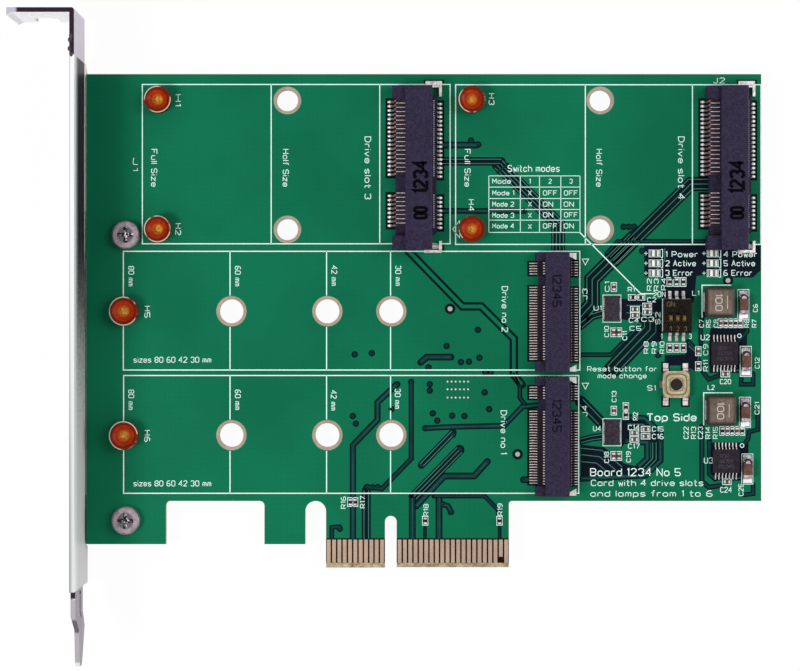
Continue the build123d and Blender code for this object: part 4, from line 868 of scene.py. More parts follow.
class CARD_OT_plastics(bpy.types.Operator):
    """Socket housings, switches, chips, ceramics and lamps, their print, and two more resistors"""

    bl_idname = "drive_card.plastics"
    bl_label = "Plastics and ceramics"

    def execute(self, context):
        socket = plain("socket_plastic", (0.021, 0.016, 0.04), (0.5, 0.65), 1400.0, 4200.0, 0.6, 0.7, 0.015,
                       spec=0.12)
        resin = plain("chip_resin", (0.011, 0.0075, 0.014), (0.5, 0.7), 1100.0, 3800.0, 0.5, 0.8, 0.01, spec=0.15)
        dress(socket, *(f"{kind}_{k}_housing" for kind in ("msata", "m2") for k in (1, 2)))
        dress(resin, "regulator_chips", "controller_chip", "memory_chip", "resistor_bodies")
        dress(plain("grained_resin", (0.026, 0.018, 0.03), (0.45, 0.65), 1700.0, 4500.0, 0.55, 0.95, 0.01,
                    spec=0.15), "signal_chips")
        dress(plain("switch_plastic", (0.014, 0.008, 0.006), (0.45, 0.6), 500.0, 5000.0, spec=0.15),
              "dip_switch_body", "reset_switch_base", "reset_button")
        dress(plain("slider_plastic", (0.95, 0.62, 0.13), (0.4, 0.6), 900.0, 6000.0),
              "dip_slider_1", "dip_slider_2", "dip_slider_3")
        dress(plain("amber_film", (0.008, 0.004, 0.001), (0.2, 0.35), 300.0, 3000.0, alpha=0.35, spec=0.15),
              "dip_switch_tape")
        dress(plain("capacitor_ceramic", (0.1, 0.05, 0.032), (0.4, 0.55), 600.0, 6000.0, 0.5, 0.4, spec=0.2),
              "small_capacitor_bodies", "back_capacitor_bodies")
        dress(plain("large_ceramic", (0.092, 0.046, 0.033), (0.4, 0.55), 900.0, 5000.0, 0.5, 0.6, spec=0.2),
              "large_capacitor_bodies")
        dress(plain("crystal_ceramic", (0.5, 0.45, 0.38), (0.5, 0.7)), "crystal_base")
        dress(plain("lamp_base", (0.42, 0.43, 0.4), (0.4, 0.6), 1500.0, 5000.0, 0.5, 0.6), "status_lamp_bases")
        dress(cover_finish(), "reset_switch_cover")
        dress(inductor_finish(), "inductor_bodies")
        dress(lamp_finish(), "status_lamp_lenses")
        amber = plain("amber_print", (0.07, 0.042, 0.01), (0.5, 0.65), 900.0, 5000.0, 0.5, 0.3, 0.005)
        # One pale finish for the inductors' print and for the painted glints on the signal chips' pads.
        pale = plain("pale_print_and_pad_glint", (0.5, 0.44, 0.38), (0.5, 0.65), 900.0, 5000.0, 0.5, 0.2, 0.005)
        dim = plain("grey_print", (0.05, 0.043, 0.055), (0.5, 0.65), 1500.0, 5000.0, 0.5, 0.6, 0.005, spec=0.1)
        tape = islands("dip_switch_tape")[0]
        x, way = mid(tape)[0], (tape[3] - tape[0]) / 3
        rows = [("ON", x - 0.75 * way, tape[4] - 0.95, 0.95, 1.5, 0)]
        rows += [(str(k + 1), x + (k - 1) * 0.8 * way, tape[1] + 0.75, 0.9, 0.5, 0) for k in range(3)]
        lettering("switch_words", rows, tape[5] + INK_LIFT, amber, 0.15)
        boxes, rows = islands("regulator_chips"), []
        for x, y in map(mid, boxes):
            rows += [("1234", x - 0.4, y + 1.0, 0.7, 1.8, 0), ("56789", x, y, 0.7, 2.6, 0),
                     ("012345", x, y - 1.0, 0.7, 3.0, 0)]
        lettering("chip_words", rows, boxes[-1][5] + INK_LIFT, dim, 0.15)
        # Painted glints on the signal chips' pads: pale bars beside each chip.
        pad_glints = []
        for x0, y0, _, x1, y1, _ in islands("signal_chips"):
            for k in range(9):
                y = y0 + 0.35 + (y1 - y0 - 0.7) * k / 8
                pad_glints += [(x0 - 0.12, y, FRONT + 0.05), (x1 + 0.12, y, FRONT + 0.05)]
        repeat("pad_glint_bars", "bar", pad_glints, (0.3, 0.2, 0.06), pale)
        ends = bpy.data.materials["soldered_end"]
        for k, (x, y, dx, dy) in enumerate(SECOND_RESISTORS, 1):
            tips = [(x + side * 0.44 * dx, y + side * 0.44 * dy, FRONT + 0.2) for side in (1, -1)]
            repeat(f"second_resistor_{k}_body", "bar", [(x, y, FRONT + 0.2)],
                   (0.56 * dx + 0.58 * dy, 0.56 * dy + 0.58 * dx, 0.38), resin)
            repeat(f"second_resistor_{k}_ends", "bar", tips,
                   (0.32 * dx + 0.58 * dy, 0.32 * dy + 0.58 * dx, 0.4), ends)
        boxes, rows = islands("inductor_bodies"), []
        for x, y in map(mid, boxes):
            rows += [("100", x - 0.3, y - 0.1, 1.35, 3.2, -90), ("-", x + 1.3, y - 0.1, 1.0, 2.6, -90)]
        lettering("inductor_words", rows, boxes[-1][5] + INK_LIFT, pale, 0.13)
        return {"FINISHED"}


# Tracks: full width of the dark band, number of copper lanes in it, and its line
TRACKS = (
    (1.3, 1, ((9.11, 79.29), (16.11, 79.29))),
    (1.6, 2, ((9.11, 76.22), (20.77, 76.22))),
    (2.6, 4, ((20.2, 75.7), (31.4, 64.4), (31.4, 59.25))),
    (0.9, 1, ((20.22, 74.38), (21.83, 75.56))),
    (1.1, 1, ((9.11, 66.92), (24.89, 66.92))),
    (2.7, 3, ((59.99, 71.97), (56.26, 71.97), (41.76, 57.58))),
    (0.9, 1, ((43.67, 63.94), (45.66, 63.94))),
    (0.9, 1, ((58.72, 61.22), (42.61, 61.22), (40.49, 58.9))),
    (1.6, 1, ((3.12, 59.61), (13.44, 49), (16.97, 49), (23.08, 42.94), (23.08, 36.22), (24.55, 34.32))),
    (1.3, 1, ((5.61, 38.5), (6.74, 39.49), (11.32, 39.49))),
    (1.2, 1, ((1.13, 34.4), (-2.49, 30.99), (-2.49, 27.75), (-7.11, 22.97), (-7.11, 5.41))),
    (1.0, 1, ((3.84, 34.91), (3.84, 20.42), (-1.67, 14.79), (-4.64, 15.13))),
    (1.7, 2, ((-4.6, 14.45), (-4.6, 5.41))),
    (1.1, 1, ((6.48, 26.15), (11.36, 26.39), (21.25, 26.62), (24.71, 30.21), (28.77, 30.55))),
    (0.9, 1, ((22.96, 36.55), (24.22, 34.23), (24.22, 31.84), (25.37, 30.31))),
    (1.4, 2, ((11.69, 25.36), (5.75, 19.22))),
    (1.9, 3, ((12.9, 22.1), (4.3, 13.3))),
    (1.3, 1, ((4.04, 13.08), (4.04, 5.41))),
    (1.3, 1, ((18.12, 19.9), (15.64, 17.18), (10.04, 17.18), (4.76, 11.55))),
    (0.7, 1, ((6.41, 7.45), (6.41, 5.41))),
    (0.9, 1, ((8.06, 13.42), (17.62, 13.42), (20.1, 10.86), (20.43, 8.65))),
    (0.7, 1, ((20.43, 7.62), (20.43, 5.41))),
    (1.3, 1, ((9.05, 13.08), (9.05, 5.41))),
    (1.1, 1, ((9.71, 11.89), (10.76, 11.55), (11.29, 10.42))),
    (0.9, 1, ((-11.07, 5.41), (-11.07, 7.56), (-9.58, 7.69))),
    (1.3, 1, ((24.88, 16.49), (26.53, 16.49))),
    (3.0, 3, ((45.67, 61.93), (37.79, 54.07), (37.79, 49.43), (35.62, 47.04))),
    (0.9, 1, ((35.62, 39.94), (41.27, 39.94), (46.48, 45.22))),
    (3.2, 3, ((41.46, 37.07), (46.48, 42.41), (48.66, 44.66), (48.66, 46.06))),
    (0.9, 1, ((58.7, 47.61), (58.16, 46.06), (58.16, 41.99))),
    (0.9, 1, ((66.85, 45.78), (66.85, 44.24), (65.09, 42.27))),
    (1.0, 1, ((55.85, 42.41), (57.21, 40.86))),
    (1.6, 2, ((35.62, 45.36), (37.79, 47.19), (39.75, 47.75))),
    (2.2, 2, ((35.62, 31.2), (39.42, 27.27))),
    (1.4, 2, ((35.62, 23.76), (37.66, 24.32), (39.75, 24.6))),
    (1.2, 1, ((44.99, 28.2), (47.57, 28.03), (50.61, 25.39), (50.61, 20.1), (47.84, 17.3), (35.62, 16.68))),
    (1.2, 1, ((44.04, 23.76), (48.11, 23.48), (48.11, 20.39), (46.48, 18.98))),
    (1.3, 2, ((49.47, 23.48), (49.47, 20.39), (47.3, 18.14))),
    (1.0, 1, ((58.38, 26.57), (58.38, 16.17), (59.65, 15.1), (62.1, 15.39))),
    (1.0, 1, ((59.79, 23.76), (59.79, 17.58), (60.88, 16.59))),
    (0.9, 1, ((68.85, 28.81), (68.85, 25.86), (67.18, 25.44), (67.07, 24.18), (66.17, 22.91))),
    (0.9, 1, ((67.99, 15.61), (67.99, 13.87), (66.17, 13.64))),
    (0.9, 1, ((65.76, 36.4), (65.76, 34.38), (67.99, 34.38), (67.99, 36.4))),
    (0.9, 1, ((58.57, 36.68), (59.65, 35.33), (61.69, 36.06))),
)
# Vias under the mask
RINGS = (
    (15.05, 80.13), (16.41, 79.38), (20.35, 74.38), (25.01, 66.92), (43.67, 63.94), (44.64, 63.94),
    (45.66, 63.94), (-6.77, 40.02), (-3.58, 40.22), (16.35, 44.61), (10.47, 41.57), (13.16, 38.56),
    (14.66, 38.64), (16.63, 39.38), (7.08, 37.59), (17.76, 36.66), (18.75, 36.66), (1.2, 34.4), (3.84, 34.84),
    (7.3, 34.4), (7.3, 33.21), (-7.11, 28.43), (-6.55, 27), (0.14, 29.73), (17.62, 32.87), (18.45, 29.73),
    (7.89, 28.94), (8.72, 27.58), (11.52, 28.5), (13.83, 28.43), (-4.41, 15.13), (-3.42, 15.06), (-2.43, 15.13),
    (6.48, 26.15), (11.69, 24.95), (5.82, 19.22), (13.01, 22.22), (18.12, 19.9), (9.71, 11.89), (11.29, 10.42),
    (-9.58, 7.28), (24.88, 16.49), (47.16, 59.4), (50.15, 39.88), (52.86, 54.35), (50.61, 23.76),
)
# Bare round pads that a placing machine sights on
PADS = ((11.12, 48.56), (23.79, 21.27), (63.27, 53.87))
# Dark fields of close tracks
FIELDS = (
    ((47.51, 60.44), (69.4, 60.44), (69.4, 55.75), (67.94, 54.43), (63.32, 54.43), (61.15, 55.19), (57.35, 54.71),
     (56.86, 49.71), (50.83, 49.71), (50.83, 54.43), (47.57, 54.63)),
    ((43.22, 50.42), (50.83, 50.42), (50.83, 46.06), (48.66, 44.94), (46.48, 46.06), (43.22, 46.62)),
    ((47.57, 46.06), (50.83, 46.06), (50.83, 42.41), (47.57, 42.13)),
    ((55.31, 42.41), (57.35, 40.86), (58.7, 37.91), (57.35, 36.79), (55.17, 37.91), (51.37, 37.91),
     (51.37, 39.88), (55.31, 40.02)),
    ((35.62, 23.05), (39.97, 22.63), (43.77, 19.54), (47.3, 18.7), (46.48, 17.3), (35.62, 16.87)),
    ((43.22, 27.69), (47.57, 27.69), (50.01, 25.44), (50.01, 23.48), (44.04, 23.48), (43.22, 22.35)),
    ((60.06, 44.94), (66.85, 44.94), (66.85, 36.51), (59.79, 36.51), (59.79, 43.81)),
    ((60.33, 23.48), (67.12, 23.48), (67.12, 16.31), (60.6, 16.31), (59.79, 17.3), (59.79, 22.35)),
)
# Thin tracks that show on those fields
THREADS = (
    ((35.7, 22.4), (39.6, 22), (43.4, 18.9)), ((35.7, 21.2), (39.2, 20.8), (42.2, 18.3)),
    ((35.7, 19.9), (38.6, 19.6), (40.6, 18)), ((44.2, 49.2), (47.6, 49.2), (49.9, 47.3)),
    ((44.2, 47.8), (46.9, 47.8), (48.9, 46.2)), ((51.4, 59.9), (51.4, 57.6), (49.2, 55.2)),
    ((62, 59.8), (62, 55.9), (60.8, 55.5)), ((55.9, 41.6), (57.7, 40), (57.7, 38.2)),
    ((60.6, 38), (62, 37), (65.9, 37)), ((60.8, 17.6), (61.7, 16.8), (66, 16.8)),
    ((44.4, 26.9), (47.3, 26.9), (49.3, 25.2)), ((44.4, 25.9), (46.9, 25.9), (48.4, 24.6)),
)


def shift_line(points, offset):
    """A polyline moved sideways, with mitred corners."""
    verts, _ = ribbon(points, 2 * abs(offset), 0.0)
    side = 0 if offset > 0 else 1
    return [(verts[2 * k + side][0], verts[2 * k + side][1]) for k in range(len(points))]


class CARD_OT_tracks(bpy.types.Operator):
    """Copper tracks under the mask, with their clearance, vias and dark fields"""

    bl_idname = "drive_card.tracks"
    bl_label = "Tracks and vias"

    def execute(self, context):
        s = context.scene.card_board
        navy = plain("mask_navy", s.navy, (0.5, 0.65), 120.0, 4000.0, 0.3, 0.3, 0.01, spec=0.04)
        dark = plain("mask_clearance", s.clearance, (0.5, 0.65), 120.0, 4000.0, 0.3, 0.3, 0.01, spec=0.03)
        core = plain("mask_track", s.track, (0.45, 0.6), 200.0, 4000.0, 0.3, 0.25, 0.01, spec=0.04)
        faint = plain("mask_glint", toned(s.track, 2.2), (0.45, 0.6), 200.0, 4000.0, 0.3, 0.35, 0.01, spec=0.05)
        lit = plain("mask_thin_track", s.thread, (0.4, 0.55), 200.0, 4000.0, 0.3, 0.25, 0.01, spec=0.1)
        copper = plain("mask_copper", s.mask, (0.4, 0.5), 45.0, 4000.0, 0.2, 0.12, 0.01, spec=0.04)
        tin = plain("bare_pad", (0.62, 0.58, 0.6), (0.3, 0.5), 900.0, 5000.0, 0.5, 0.15, 0.01, metal=0.6)
        wear_and_edge_shade = plain("sight_pad", (0.42, 0.37, 0.38), (0.45, 0.6), 900.0, 5000.0, 0.5, 0.2, 0.01, spec=0.2)
        fields, bands, cores, threads, glints, broad = (Sheet() for _ in range(6))
        for points in FIELDS:
            fields.field(points, FIELD_Z)
        for x in MSATA_X:
            for y in (MSATA_Y + MSATA_HOLD, MSATA_Y - MSATA_HOLD):
                bands.block(x + 1.7, y - 0.65, x + 5.5, y + 0.65, BAND_Z)
        for x0, y0, _, x1, y1, _ in small_parts():
            bands.block(x0, y0, x1, y1, BAND_Z, PART_BAND)
        for x0, y0, _, x1, y1, _ in islands("reset_switch_leads"):
            bands.block(x0, y0, x1, y1, BAND_Z, LEAD_BAND)
        for x0, x1, y0, y1 in socket_rows():
            bands.block(x0, y0, x1, y1, BAND_Z)
        for width, count, points in TRACKS:
            bands.line(points, width, BAND_Z)
            for x, y in (points[0], points[-1]):
                bands.disc(x, y, width / 2, END_Z)
            if count == 1 and width > BROAD_W:
                broad.line(points, BROAD_LANE, LANE_Z)
            elif count == 1:
                cores.line(points, width - 2 * s.edge_w, LANE_Z)
                if width > GLINT_W:
                    glints.line(points, s.thread_w, GLINT_Z)
            else:
                for k in range(count):
                    offset = (k - (count - 1) / 2) * width / count
                    lane = points if abs(offset) < 1e-6 else shift_line(points, offset)
                    threads.line(lane, s.thread_w, LANE_Z)
        for points in THREADS:
            threads.line(points, s.thread_w, LANE_Z)
        for places, radius in ((RINGS, s.via_r + VIA_BAND), (PADS, SIGHT_BAND)):
            for x, y in places:
                bands.disc(x, y, radius, RING_Z)
        for name, sheet, finish in (
                ("mask_fields", fields, navy), ("track_clearance", bands, dark), ("track_lanes", cores, core),
                ("track_bundles", threads, lit), ("track_glints", glints, faint), ("broad_track", broad, copper)):
            piece(name, sheet.mesh(name), finish)
        vias, holes = ([(x, y, z) for x, y in RINGS] for z in (PAD_Z, HOLE_Z))
        repeat("via_pads", "disc", vias, (2 * s.via_r, 2 * s.via_r, 0.02), core, sides=16)
        repeat("via_holes", "disc", holes, (0.26, 0.26, 0.02), dark, sides=10)
        repeat("sight_pads", "disc", [(x, y, TIN_Z) for x, y in PADS], (0.92, 0.92, 0.03), wear_and_edge_shade,
               sides=24)
        grid = [(10.65 + 0.76 * i + 0.04 * (i > 2), y, TIN_Z) for i in range(6) for y in (34.9, 33.45, 31.9)]
        repeat("heat_vias", "disc", grid, (0.34, 0.34, 0.03), tin, sides=10)
        return {"FINISHED"}


def comb(first, pitch, groups, missing=4):
    """Places of a row of contacts, running downwards in groups with a gap between them."""
    out, n = [], 0
    for count in groups:
        out += [first - (n + k) * pitch for k in range(count)]
        n += count + missing
    return out


SOCKETS = (
    *(("msata", x, MSATA_PITCH, comb(MSATA_Y + 11.8, MSATA_PITCH, (18, 8)),
       comb(MSATA_Y + 11.4, MSATA_PITCH, (18, 8))) for x in MSATA_X),
    *(("m2", M2_X, M2_PITCH, comb(y + M2_FIRST, M2_PITCH, (5, 28)), comb(y + M2_FIRST + 0.25, M2_PITCH, (6, 28)))
      for y in M2_Y),
)
ROW_REACH = {"msata": ((-5.5, -3.6), (3.9, 5.55)), "m2": ((-4.5, -2.6), (3.3, 5.2))}


def groups_of(ys, pitch):
    """The ends of each unbroken group of places."""
    out = [[ys[0], ys[0]]]
    for y in ys[1:]:
        if out[-1][1] - y > 1.5 * pitch:
            out.append([y, y])
        out[-1][1] = y
    return out


def socket_rows():
    """Dark clearance round the solder feet of each socket, as boxes."""
    return [(x + a, x + b, low - pitch * 0.9, top + pitch * 0.9) for kind, x, pitch, front, rear in SOCKETS
            for ys, (a, b) in zip((front, rear), ROW_REACH[kind]) for top, low in groups_of(ys, pitch)]


# Words, gathered by capital height, turn and, if bold, pen: the word, its middle and its length
WORDS = (
    ((1.1, 0), (
      ("1 Power", 54.6, 58.8, 6.1), ("2 Active", 54.4, 57.1, 5.7), ("3 Error", 54.1, 55.3, 5.2),
      ("4 Power", 65.6, 58.8, 6.3), ("5 Active", 65.4, 57.1, 5.9), ("6 Error", 65.1, 55.3, 5.4),
      ("J2", 61.6, 91.4, 2.2), ("sizes 80 60 42 30 mm", -41, 39, 14.6), ("sizes 80 60 42 30 mm", -41, 15.8, 14.6))),
    ((0.86, 90), (("C1", 40.6, 52.7, 1.9),)),
    ((0.89, 0), (("R1", 45.1, 52.2, 1.3),)),
    ((0.91, 0), (
      ("C2", 48.95, 50.25, 1.7), ("C3", 48.2, 46.6, 2.4), ("C4", 45.6, 46.4, 1.9), ("C5", 45.9, 44.9, 2.2),
      ("1", 26.1, 72.5, 0.3), ("2", 29.9, 72.5, 0.6), ("3", 33.8, 72.5, 0.6), ("X", 26.1, 70.3, 0.7),
      ("X", 26.1, 68.2, 0.7), ("X", 26.1, 66.1, 0.7), ("X", 26.1, 64, 0.7))),
    ((0.96, 0), (
      ("U1", 38.8, 48.7, 1.5), ("L1", 57.2, 51.5, 1.3), ("Reset button for", 43.4, 37.3, 13.1),
      ("mode change", 43.4, 36, 9.2), ("C14", 45.6, 26.3, 2.2), ("C15", 50.1, 26, 2.2), ("C16", 50.1, 24.6, 2.2),
      ("C17", 45.6, 22.8, 2.2), ("C20", 62.8, 34.9, 2.1), ("L2", 60.1, 33.8, 1.3), ("Mode", 20.8, 72.5, 3.5),
      ("OFF", 29.9, 70.3, 2.7), ("ON", 29.5, 68.2, 1.9), ("ON", 29.5, 66.2, 1.9), ("OFF", 29.9, 64.1, 2.7),
      ("OFF", 33.8, 70.3, 2.6), ("ON", 33.4, 68.2, 1.9), ("OFF", 33.8, 66.2, 2.6), ("ON", 33.4, 64.1, 1.9))),
    ((0.89, 90), (
      ("R2", 48.5, 53.1, 2.3), ("R3", 49.8, 53.1, 2.3), ("R4", 51.2, 53.2, 2.3), ("C6", 68.4, 48.7, 1.5),
      ("C7", 58.3, 45.8, 1.5), ("R5", 59.6, 45.8, 1.5), ("C8", 61, 45.8, 1.5), ("R6", 66.8, 45.8, 1.5),
      ("R7", 68.2, 45.8, 1.5), ("R8", 47.9, 41.3, 2.3), ("R9", 49.4, 41.3, 2.3), ("R10", 50.9, 41.3, 2.3),
      ("C10", 40.5, 44.3, 2.1), ("C11", 43.9, 43.5, 1.7), ("C12", 68.75, 38.4, 2.1), ("C13", 41.9, 32.1, 2.1),
      ("C18", 40.5, 20.7, 2.1), ("C19", 44.6, 20.8, 2.1), ("C21", 68.7, 29.9, 2.3))),
    ((1.06, 0), (("ON", 50.8, 51.3, 1.5), ("U2", 59, 43.2, 1.7), ("C24", 62.9, 14.6, 2.2))),
    ((0.94, 90), (
      ("S2", 50.1, 46.8, 2.3), ("C9", 59.1, 40.9, 2.1), ("R11", 59.1, 37.9, 2.1), ("R12", 45.9, 28.4, 1.5),
      ("C22", 55.4, 25.3, 2.3), ("R13", 56.8, 25.3, 2.3), ("C23", 58.1, 25.3, 2.3), ("R14", 59.5, 25.3, 2.3),
      ("R15", 60.9, 25.3, 2.3), ("C25", 65.7, 14.6, 2.3), ("R16", -8.9, 12.2, 2.3), ("R17", -5.3, 12.3, 2.3),
      ("R18", 6.6, 10.8, 2.3), ("R19", 20.5, 10.9, 2.3))),
    ((1.01, 0), (
      ("1", 50.8, 43.4, 0.3), ("3", 56.2, 43.4, 0.5), ("S1", 48.9, 33.7, 1.6), ("U4", 38.7, 26.1, 1.5))),
    ((0.97, 90), (("J3", 36.4, 51.3, 2.1), ("J4", 36.4, 29.4, 2.1))),
    ((1.15, 0), (("U3", 59.6, 20.1, 1.7),)),
    ((1.5, 0, 0.22), (("Top Side", 52.7, 28.2, 9.4),)),
    ((1.51, 0), (("Board 1234 No 5", 45.9, 17.9, 17),)),
    ((1.19, 0), (("Card with 4 drive slots", 48.1, 15.9, 21.1), ("and lamps from 1 to 6", 48.9, 13.9, 22.9))),
    ((1.2, -90), (("Drive no 1", 21.2, 25.4, 8.2), ("Drive no 2", 21.4, 48.5, 8.6))),
    ((1.1, -90), (
      ("30 mm", 1.3, 31.7, 3.8), ("42 mm", -10.7, 31.4, 3.8), ("30 mm", 1.4, 54.8, 3.8),
      ("42 mm", -10.6, 54.8, 3.8), ("80 mm", -48.7, 54.7, 3.8), ("60 mm", -28.7, 54.7, 3.8),
      ("80 mm", -48.7, 31.5, 3.8), ("60 mm", -28.7, 31.5, 3.8))),
    ((1.24, -90), (("Drive slot 3", -4.3, 75, 11.8), ("Drive slot 4", 54.5, 75, 11.8))),
    ((1.15, -90), (
      ("Half Size", -19.7, 75, 7.1), ("Full Size", -44.4, 75, 7.1), ("Half Size", 39.1, 75, 7.1),
      ("Full Size", 14.4, 75, 7.1))),
    ((1.07, -90), (
      ("H1", -39.9, 87.7, 2.2), ("H2", -39.9, 63.5, 2.2), ("H3", 18.9, 87.9, 2.2), ("H4", 15.1, 68, 2.2),
      ("H5", -45.7, 48, 2.2), ("H6", -45.7, 24.7, 2.2))),
    ((0.97, -90), (("J1", -47.9, 75.7, 2.5),)),
    ((1.3, 0), (("Switch modes", 26.8, 74.9, 9.8),)),
    ((0.92, 0), (
      ("Mode 1", 21.1, 70.3, 4.1), ("Mode 2", 21.1, 68.2, 4.1), ("Mode 3", 21.1, 66.1, 4.1),
      ("Mode 4", 21.1, 64.1, 4.1))),
)

# Drive outlines: left, low, right, top, the uprights and the height of the holes on them
OUTLINES = (
    (-46.62, 60.761, 11.127, 90.656, (-22.447, -2.077), None),
    (12.161, 60.646, 69.428, 90.599, (36.501, 56.593), None),
    (-50.184, 37.074, 35.467, 59.348, (-30.166, -12.05, -0.046), 48.1),
    (-50.129, 13.942, 35.263, 36.043, (-30.166, -12.05, -0.046), 24.85),
)


class CARD_OT_sockets(bpy.types.Operator):
    """Solder, painted highlights on the comb ribs, contact dots and tips, lip covers and digits on the four sockets
    """

    bl_idname = "drive_card.sockets"
    bl_label = "Socket details"

    def execute(self, context):
        tin = plain("solder", (0.8, 0.78, 0.8), (0.15, 0.35), 2000.0, 9000.0, 0.5, 0.3, 0.01, metal=0.3)
        # One light finish for the contact dots and rear tips and for the painted highlights on the ribs.
        tip_and_highlight = plain("light_tip_and_rib_highlight", (0.72, 0.66, 0.7), (0.35, 0.5), 1500.0, 6000.0, 0.5, 0.4, 0.01, spec=0.2)
        dull = plain("lip_plastic", (0.016, 0.008, 0.014), (0.5, 0.65), 1200.0, 4000.0, 0.5, 0.6, 0.01, spec=0.1)
        ink = plain("stamp_ink", (0.0015, 0.001, 0.003), (0.6, 0.8), 900.0, 3500.0, 0.6, 0.6, 0.005, spec=0.03)
        faint = plain("moulded_digits", (0.004, 0.003, 0.008), (0.5, 0.7), 900.0, 3500.0, 0.6, 0.6, 0.005,
                      spec=0.05)
        anchor = plain("anchor_solder", (0.74, 0.68, 0.74), (0.2, 0.4), 1300.0, 5000.0, 0.5, 0.55, 0.04,
                       metal=0.2)
        beads, rib_highlights, tips, dots, verts, faces = [], [], [], [], [], []
        for kind, x, pitch, front, rear in SOCKETS:
            if kind == "msata":
                beads += [(x - 4.68, y, FRONT + 0.2) for y in front] + [(x + 4.75, y, FRONT + 0.2) for y in rear]
                # Bars over the comb ribs are painted highlights on the ribs' top edges.
                rib_highlights += [(x - 2.65, y + pitch / 2, FRONT + 2.24) for y in front]
                tips += [(x + 3.55, y + side, FRONT + 2.63) for y in rear for side in (0.0, 0.4)]
            else:
                dots += [(x - 1.5, y, FRONT + 2.27) for y in front] + [(x + 3.6, y, FRONT + 1.1) for y in rear]
                for top, low in groups_of(front, pitch):
                    faces += [tuple(i + len(verts) for i in q) for q in BOX_FACES]
                    verts += [(x + u, v, FRONT + w) for u in (-2.7, -1.3) for v in (low - 0.3, top + 0.3)
                              for w in (1.8, 2.25)]
        bars = [(x + 3.55, MSATA_Y + side * MSATA_HOLD, FRONT + 0.2) for x in MSATA_X for side in (1, -1)]
        repeat("solder_beads", "bead", beads, (0.82, 0.6, 0.66), tin, sides=8)
        repeat("contact_dots", "bar", dots, (0.36, 0.2, 0.08), tip_and_highlight)
        repeat("rib_highlight_bars", "bar", rib_highlights, (1.7, 0.12, 0.1), tip_and_highlight)
        repeat("rear_tips", "bar", tips, (0.22, 0.14, 0.06), tip_and_highlight)
        piece("lip_covers", mesh_of("lip_covers", verts, faces), dull)
        rows = [row for x in MSATA_X for row in (("1234", x + 1.05, 73.0, 2.9, 6.3, 90),
                                                 ("00", x + 1.05, 66.3, 2.7, 2.5, 90))]
        lettering("stamped_digits", rows, FRONT + 5.21, ink, 0.2)
        rows = [("12345", M2_X + 0.8, y + 3.8, 1.75, 6.2, -90) for y in M2_Y]
        lettering("moulded_digits", rows, islands("m2_1_housing")[0][5] + INK_LIFT, faint, 0.14)
        repeat("anchor_solder", "bar", bars, (3.1, 0.72, 0.3), anchor)
        return {"FINISHED"}


TABLE_X = (18.4, 24.3, 27.9, 31.9, 35.5)
TABLE_Y = (62.9, 65.2, 67.2, 69.25, 71.4, 73.5)
PIN_RINGS = ((65.4, 43.5), (65.9, 22.9))
MARKS = (((35.9, 57.9), (37.1, 57.9), (36.5, 56.8)), ((35.9, 34.6), (37.1, 34.6), (36.5, 33.5)),
         ((11.6, 63.5), (12.9, 65.1), (12.9, 61.9)))


class CARD_OT_print_lines(bpy.types.Operator):
    """White outlines, tables and marks on the board"""

    bl_idname = "drive_card.print_lines"
    bl_label = "Printed lines"

    def execute(self, context):
        s = context.scene.card_print
        z, wide, fine = FRONT + s.lift, s.line_w, s.fine_w
        sheet = Sheet()
        for x0, y0, x1, y1, uprights, hole in OUTLINES:
            sheet.frame(x0, y0, x1, y1, wide, z)
            stops = (y1, hole + HOLE_GAP, hole - HOLE_GAP, y0) if hole else (y1, y0)
            for x in uprights:
                for top, low in zip(stops[::2], stops[1::2]):
                    sheet.line([(x, top), (x, low)], wide, z)
        for x in TABLE_X:
            sheet.line([(x, TABLE_Y[0]), (x, TABLE_Y[-1])], fine, z)
        for y in TABLE_Y:
            sheet.line([(TABLE_X[0], y), (TABLE_X[-1], y)], fine, z)
        sheet.line([(35.5, 62.85), (46.9, 51.4), (49.6, 51.4)], wide, z)
        for side in (0.55, -0.55):
            sheet.line([(50.0, 51.4), (49.3, 51.4 + side)], fine, z)
        for x0, y0, _, x1, y1, _ in small_parts():
            sheet.frame(x0, y0, x1, y1, fine, z, PART_GAP)
        for x, y, dx, dy in SECOND_RESISTORS:
            u, v = 0.51 + 0.31 * dx, 0.51 + 0.31 * dy
            sheet.frame(x - u, y - v, x + u, y + v, fine, z)
        for x0, y0, _, x1, y1, _ in islands("signal_chips"):
            sheet.frame(x0, y0, x1, y1, fine, z, CHIP_GAP)
        for x0, y0, _, x1, y1, _ in islands("inductor_bodies"):
            sheet.line([(x0 - 0.45, y0 - 0.1), (x0 - 0.45, y1 + 0.4), (x1 - 0.3, y1 + 0.4)], wide, z)
        sheet.line([(51.03, 44.4), (51.03, 50.33), (56.1, 50.33), (56.1, 49.9)], wide, z)
        for x, y in PIN_RINGS:
            sheet.line(round_points(x, y, 0.36, 12), fine, z, True)
        for x0, y0, _, x1, y1, _ in islands("status_lamp_bases"):
            m = (y0 + y1) / 2
            sheet.frame(x0, y0, x1, y1, LAMP_PEN, z, LAMP_GAP)
            sheet.line([(x0 - 1.0, m), (x0 - 0.35, m)], fine, z)
            sheet.line([(x0 - 0.68, m - 0.32), (x0 - 0.68, m + 0.32)], fine, z)
            sheet.line([(x1 + 0.25, y0 - 0.2), (x1 + 0.55, y0 - 0.2), (x1 + 0.55, y1 + 0.2), (x1 + 0.25, y1 + 0.2)],
                       fine, z)
        for points in MARKS:
            sheet.line(points, fine, z, True)
        ink = plain("print_ink", s.ink, (0.55, 0.7), 800.0, 5000.0, 0.5, 0.08, 0.01)
        piece("print_lines", sheet.mesh("print_lines"), ink)
        rows = [(word, x, y, height, long, turn, *pen) for (height, turn, *pen), words in WORDS
                for word, x, y, long in words]
        lettering("print_words", rows, z, ink)
        return {"FINISHED"}


